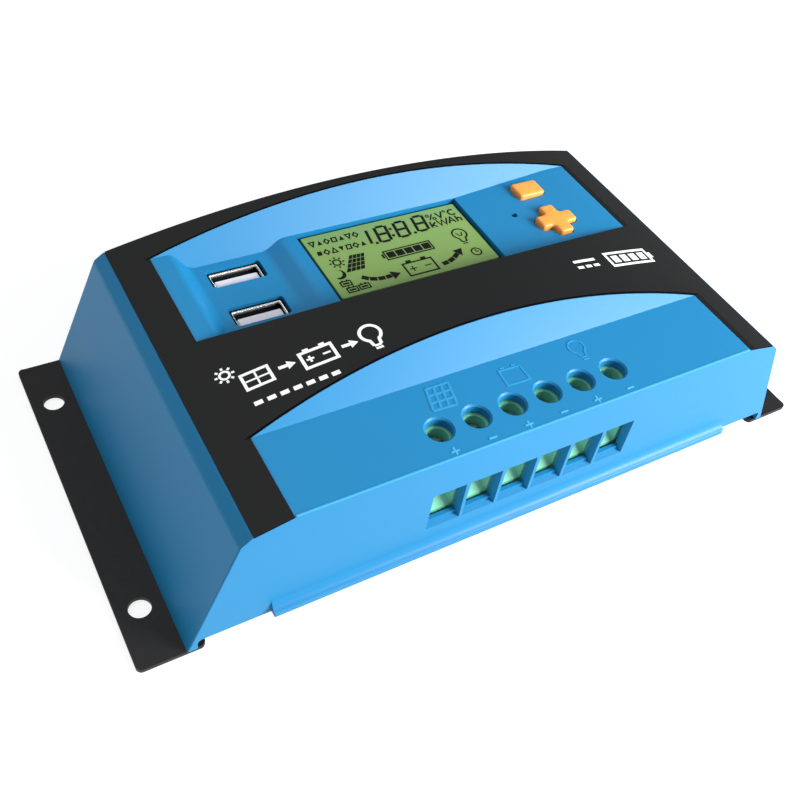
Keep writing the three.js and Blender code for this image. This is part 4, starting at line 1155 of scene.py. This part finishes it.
    def _band(self, marks: Marks, path: list[Spot]) -> None:
        """Draw a broad arrow in lengths, one for each step of the path, with its head past the last."""
        spots = np.array(path)
        for low, high in zip(spots[:-1], spots[1:]):
            gap = 0.12 * (high - low) / np.linalg.norm(high - low)
            marks.bar(low + gap, high - gap, 1.35)
        marks.arrow([spots[-1] * 0.98 + spots[-2] * 0.02, spots[-1]], 0.9, 2.5)


@dataclass
class Keys:
    """The two silicone keys and the small parts of the key field.

    Attributes:
        edge: Radius of a key's top edge, mm.
        corner: Radius of its corners in plan, mm.
        flange: Width of the flange that holds it from below, mm.
        flange_thick: Thickness of the flange, mm.
        crown: Rise of the top face to its middle, mm.
        arm: Width of an arm of the plus, mm.
        hold: How far the flange stands out from the sides, mm.
    """

    edge: float = 0.75
    corner: float = 0.9
    flange: float = 1.0
    flange_thick: float = 0.9
    crown: float = 0.12
    arm: float = 4.4
    hold: float = 0.75

    def build(self) -> None:
        """Build both keys and dress what lies under them."""
        x0, x1, y0, y1 = self._plan("menu_button")
        self._key("menu_button", "menu_key_top", box_corners(x0, x1, y0, y1), "menu_key")
        x0, x1, y0, y1 = self._plan("plus_button")
        cx, cy, h = (x0 + x1) / 2, (y0 + y1) / 2, self.arm / 2
        plus = [
            (x0, cy - h), (cx - h, cy - h), (cx - h, y0), (cx + h, y0), (cx + h, cy - h), (x1, cy - h),
            (x1, cy + h), (cx + h, cy + h), (cx + h, y1), (cx - h, y1), (cx - h, cy + h), (x0, cy + h),
        ]
        self._key("plus_button", "plus_key_top", plus, "plus_key")
        for node in ("menu_switch", "plus_switch"):
            dress(node, BLACK_EPOXY)
        for node in ("menu_plunger", "plus_plunger"):
            dress(node, WHITE_POLYESTER)
        dress("status_light", SMOKED_ACRYLIC)

    def _plan(self, node: str) -> tuple[float, float, float, float]:
        """Return the key's plan inside its flange: x from, x to, y from, y to."""
        low, high = box_mm(node)
        (x0, y0), (x1, y1) = low[:2] + self.flange, high[:2] - self.flange
        return x0, x1, y0, y1

    def _key(self, node: str, name: str, corners: list[Spot], body: str) -> None:
        """Build one key: flange, straight sides, quarter-round edge and a top that rises to its middle.

        The top is the edge ring drawn in to the centre: share s of it stands crown (1 - s^2) higher.
        """
        low, high = box_mm(node)
        z0, z1 = low[2], high[2] - self.crown
        outline = Outline.rounded(corners, self.corner)
        steps = [(self.hold, z0), (self.hold, z0 + self.flange_thick), (-0.02, z0 + self.flange_thick + 0.02)]
        rings = outline.shell(steps + edge_round(self.edge, z1, 6))
        centre = outline.points.mean(0)
        share = np.array([0.8, 0.6, 0.4, 0.2])[:, None, None]
        flat = centre + (rings[-1][None, :, :2] - centre) * share
        rise = np.broadcast_to(z1 + self.crown * (1 - share**2), flat.shape[:2] + (1,))
        skin = lofted(np.concatenate([rings, np.concatenate([flat, rise], -1)]))
        made = piece(name, skin, KEY_SILICONE, body)
        made.data.set_sharp_from_angle(angle=math.radians(50))
        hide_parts(node)


@dataclass
class Sockets:
    """The two USB sockets: shells with a rolled rim, tongues with rounded ends and contact strips.

    Attributes:
        contacts: Strips on each tongue.
        spacing: Distance between strips, mm.
        strip: Width of a strip, mm.
        rim_start: Where the folded rim begins, in from the shell's outside, mm.
        rim_fold: Where it ends, mm.
        rim_deep: How far the rim and the seal reach down, mm.
        edge: Radius of the shell's edges, mm.
        tongue_edge: Radius of the tongue's edges, mm.
        inside: How far in, on each axis, the painted shade inside the shell begins, mm.
        strip_y: Distance of the strips from the tongue's front, mm.
    """

    contacts: int = 4
    spacing: float = 2.3
    strip: float = 1.1
    rim_start: float = 0.26
    rim_fold: float = 0.65
    rim_deep: float = 0.8
    edge: float = 0.09
    tongue_edge: float = 0.4
    inside: tuple[float, float, float] = (0.2, 0.2, 0.5)
    strip_y: float = 3.15

    def build(self) -> None:
        """Build both sockets and dress their board."""
        for side in ("front", "back"):
            node, rule = f"usb_shell_{side}", plain_edges(self.edge, 50, 1.0)
            shell = softened(node, f"socket_shell_{side}", rule, NICKEL_STEEL, 2)
            low, high = box_mm(node)
            middle, depth = (low + high) / 2, (high - low) / 2 - self.inside

            def within(spot: np.ndarray, normal: np.ndarray) -> np.ndarray:
                """Tell the faces that lie within the shell's wall and below its rim, which get the painted
                shade.
                """
                return (np.abs(spot - middle) < depth).all(1)

            # The inside of the shell gets a dark finish: painted shade.
            refinish(shell, INNER_SHADE_STEEL, within)
            self._rim(side)
            self._tongue(side)
        dress("usb_board", SOLDER_MASK)
        dress("usb_header", BLACK_EPOXY)

    def _rim(self, side: str) -> None:
        """Build one shell's rolled rim and its foam seal: closed sections carried round the mouth.

        The rim's top is a quarter turn: inwards r sin a, down r (1 - cos a).
        """
        (x0, y0, _), (x1, y1, top) = box_mm(f"usb_shell_{side}")
        outline = Outline.rounded(box_corners(x0, x1, y0, y1), self.rim_fold + 0.05)
        turn, start, deep = np.linspace(0, math.pi / 2, 5), -self.rim_start, -self.rim_deep
        r = self.rim_fold - self.rim_start
        round_top = zip(start - r * np.sin(turn), r * (np.cos(turn) - 1))
        rim = [(start, deep), *round_top, (-self.rim_fold, deep)]
        seal = ((0.12, deep), (0.12, 0.05), (0.06, 0.09), (-0.24, 0.09), (-0.28, 0.05), (-0.28, deep))
        for name, section, finish, slot in (
            ("rim", rim, NICKEL_STEEL, "plated_steel"), ("seal", seal, GASKET_FOAM, "black_film")
        ):
            rings = outline.shell([(g, top + z) for g, z in section])
            piece(f"socket_{name}_{side}", lofted(rings, True), finish)

    def _tongue(self, side: str) -> None:
        """Build one tongue and its strips: a rounded plan drawn up, with a quarter-round top edge."""
        node, rule = f"usb_tongue_{side}", plain_edges(self.tongue_edge, 50, 1.0)
        softened(node, f"socket_tongue_{side}", rule, WHITE_POLYESTER, 4)
        low, high = box_mm(node)
        cx, y, top = (low[0] + high[0]) / 2, low[1] + self.strip_y, high[2]
        strips = []
        for i in range(self.contacts):
            x = cx + (i - (self.contacts - 1) / 2) * self.spacing
            plan = Outline.rounded(box_corners(x - self.strip / 2, x + self.strip / 2, y, y + 0.16), 0.05, 3)
            strips.append(lofted(plan.shell([(0, top - 8.0), (0, top - 2.6), (-0.04, top - 2.5)])))
        piece(f"socket_contacts_{side}", Skin.joined(strips), GOLD_FLASH)


@dataclass
class Terminals:
    """The six-way terminal block with its rising clamps.

    Attributes:
        ways: Number of terminals.
        block_edge: Radius of the block's long edges, mm.
        bore_edge: Radius round the mouths of its screw bores, mm.
        mouth_z: Height above which those mouths lie, mm.
        screw_edge: Radius of a screw's edges, mm.
        clamp_edge: Radius of a clamp's edges, mm.
    """

    ways: int = 6
    block_edge: float = 0.15
    bore_edge: float = 0.22
    mouth_z: float = 31.0
    screw_edge: float = 0.12
    clamp_edge: float = 0.18

    def build(self) -> None:
        """Build the block, the screws and the clamps."""
        softened("terminal_block", "terminal_body", self._block_widths, GREEN_POLYAMIDE, 2)
        screw, clamp = plain_edges(self.screw_edge, 50, 1.0), plain_edges(self.clamp_edge, 50, 1.0)
        for i in range(1, self.ways + 1):
            for part, rule, body in (("screw", screw, f"screw_{i}"), ("cage", clamp, f"cage_{i}")):
                node, name = f"terminal_{part}_{i}", f"clamp_{part}_{i}"
                softened(node, name, rule, ZINC_STEEL, 2, body)
            dress(f"terminal_contact_{i}", TINNED_COPPER)

    def _block_widths(self, facts: EdgeFacts) -> np.ndarray:
        """Break the block's long edges, and the mouths of the screw bores a little more."""
        edge = (facts.angle > 50) & facts.convex
        bore = edge & (facts.middle[:, 2] > self.mouth_z) & (facts.length < 1.2)
        return np.where(bore, self.bore_edge, np.where(edge & (facts.length > 2.0), self.block_edge, 0.0))


@dataclass
class Chassis:
    """The base plate, its screws, the spacers and what sits on the main board.

    Attributes:
        edge: Radius of the sheet's long edges, mm.
        sheet: Height below which they lie, mm.
    """

    edge: float = 0.25
    sheet: float = 1.3

    def build(self) -> None:
        """Build the plate and dress the parts inside."""
        softened("base_plate", "mounting_plate", self._plate_widths, BLACK_POWDER)
        for node, finish in self._inside().items():
            dress(node, finish)

    def _plate_widths(self, facts: EdgeFacts) -> np.ndarray:
        """Break the long edges of the sheet, where the shear and the powder leave them soft."""
        long = (facts.angle > 60) & facts.convex & (facts.length > 3)
        return np.where(long & (facts.middle[:, 2] < self.sheet), self.edge, 0.0)

    def _inside(self) -> dict[str, Finish]:
        """Return the finish of each part on or near the boards."""
        finishes = {
            "main_board": SOLDER_MASK,
            "display_board": SOLDER_MASK,
            "display_header": BLACK_EPOXY,
            "thermal_pad": THERMAL_SILICONE,
            "heat_spreader": ALUMINIUM,
            "bulk_capacitor": PVC_SLEEVE,
            "output_capacitor": PVC_SLEEVE,
            "inductor": IRON_POWDER,
            "microcontroller": BLACK_EPOXY,
        }
        fours = {"board_spacer": BRASS, "power_transistor": BLACK_EPOXY, "base_screw": ZINC_STEEL}
        for kind, finish in fours.items():
            finishes.update({f"{kind}_{i}": finish for i in range(1, 5)})
        return finishes


# ------------------------------------------------------------------ stage


@dataclass(frozen=True)
class SoftBox:
    """A square soft light that faces the object.

    Attributes:
        name: Name of the light.
        at: Its place, mm.
        size: Side of the box, mm.
        power: Power, W.
    """

    name: str
    at: tuple[float, float, float]
    size: float
    power: float


@dataclass
class Studio:
    """Pale floor, soft lights and the camera.

    Attributes:
        camera_at: Where the camera stands, mm.
        look: Direction that it looks in.
        roll: Turn about that direction, degrees.
        lens: Focal length, mm.
        sensor: Width of the sensor, mm.
        sky: Strength of the even light from all round.
        lights: The soft boxes.
        aim: Point that they face, mm.
        floor_side: Half the side of the floor, mm.
        floor_z: Heights of its two faces, just under the plate, mm.
    """

    camera_at: tuple[float, float, float] = (-112.467, -134.899, 184.508)
    look: tuple[float, float, float] = (0.417674, 0.536163, -0.733538)
    roll: float = 11.6256
    lens: float = 42.6226
    sensor: float = 36
    sky: float = 0.41
    lights: tuple[SoftBox, ...] = (
        SoftBox("key_light", (360, -390, 275), 260, 7.9),
        SoftBox("top_light", (-150, 300, 850), 700, 2.0),
    )
    aim: tuple[float, float, float] = (0, 0, 20)
    floor_side: float = 6000.0
    floor_z: Spot = (-8.0, -0.02)

    def build(self) -> None:
        """Build the whole stage."""
        self._floor()
        self._camera()
        for box in self.lights:
            self._light(box)
        world = bpy.context.scene.world or bpy.data.worlds.new("Studio")
        bpy.context.scene.world = world
        world.use_nodes = True
        tree = world.node_tree
        tree.nodes.clear()
        even = {"Color": (1.0, 1.0, 1.0, 1.0), "Strength": self.sky}
        sky = add_node(tree, "ShaderNodeBackground", even)
        add_node(tree, "ShaderNodeOutputWorld", {"Surface": sky.outputs[0]})
        bpy.context.scene.view_settings.view_transform = "Standard"

    def _floor(self) -> None:
        """Lay the floor: a flat square, just under the plate."""
        side = self.floor_side
        plan = np.array(box_corners(-side, side, -side, side))
        skin = lofted(np.stack([np.c_[plan, np.full(4, z)] for z in self.floor_z]))
        mesh = bpy.data.meshes.new("floor")
        mesh.from_pydata((skin.points * MM).tolist(), [], skin.faces)
        mesh.materials.append(OPAL_SHEET.material())
        floor = bpy.data.objects.new("floor", mesh)
        bpy.context.scene.collection.objects.link(floor)

    def _camera(self) -> None:
        """Stand the camera in its place."""
        data = bpy.data.cameras.new("camera")
        data.lens, data.sensor_width = self.lens, self.sensor
        data.clip_start, data.clip_end = 0.01, 50
        data.dof.use_dof = False
        roll = Quaternion((0, 0, 1), math.radians(self.roll))
        bpy.context.scene.camera = self._stand(data, self.camera_at, self.look, roll)

    def _light(self, box: SoftBox) -> None:
        """Hang one soft box."""
        data = bpy.data.lights.new(box.name, "AREA")
        data.energy, data.size = box.power, box.size * MM
        self._stand(data, box.at, np.subtract(self.aim, box.at), Quaternion())

    def _stand(
        self, data: bpy.types.ID, at: Sequence[float], look: Sequence[float], roll: Quaternion
    ) -> bpy.types.Object:
        """Put a camera or a light at a place, mm, looking in a direction, and rolled about it."""
        made = bpy.data.objects.new(data.name, data)
        turn = Vector(look).to_track_quat("-Z", "Y") @ roll
        made.matrix_world = Matrix.Translation(Vector(at) * MM) @ turn.to_matrix().to_4x4()
        bpy.context.scene.collection.objects.link(made)
        return made


def main() -> None:
    """Build the object and the stage in order."""
    logging.basicConfig(level=logging.INFO, format="%(message)s")
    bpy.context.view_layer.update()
    for assembly in (Studio(), Housing(), Label(), Display(), Keys(), Sockets(), Terminals(), Chassis()):
        LOG.info("building %s", type(assembly).__name__)
        assembly.build()


if __name__ == "__main__":
    main()
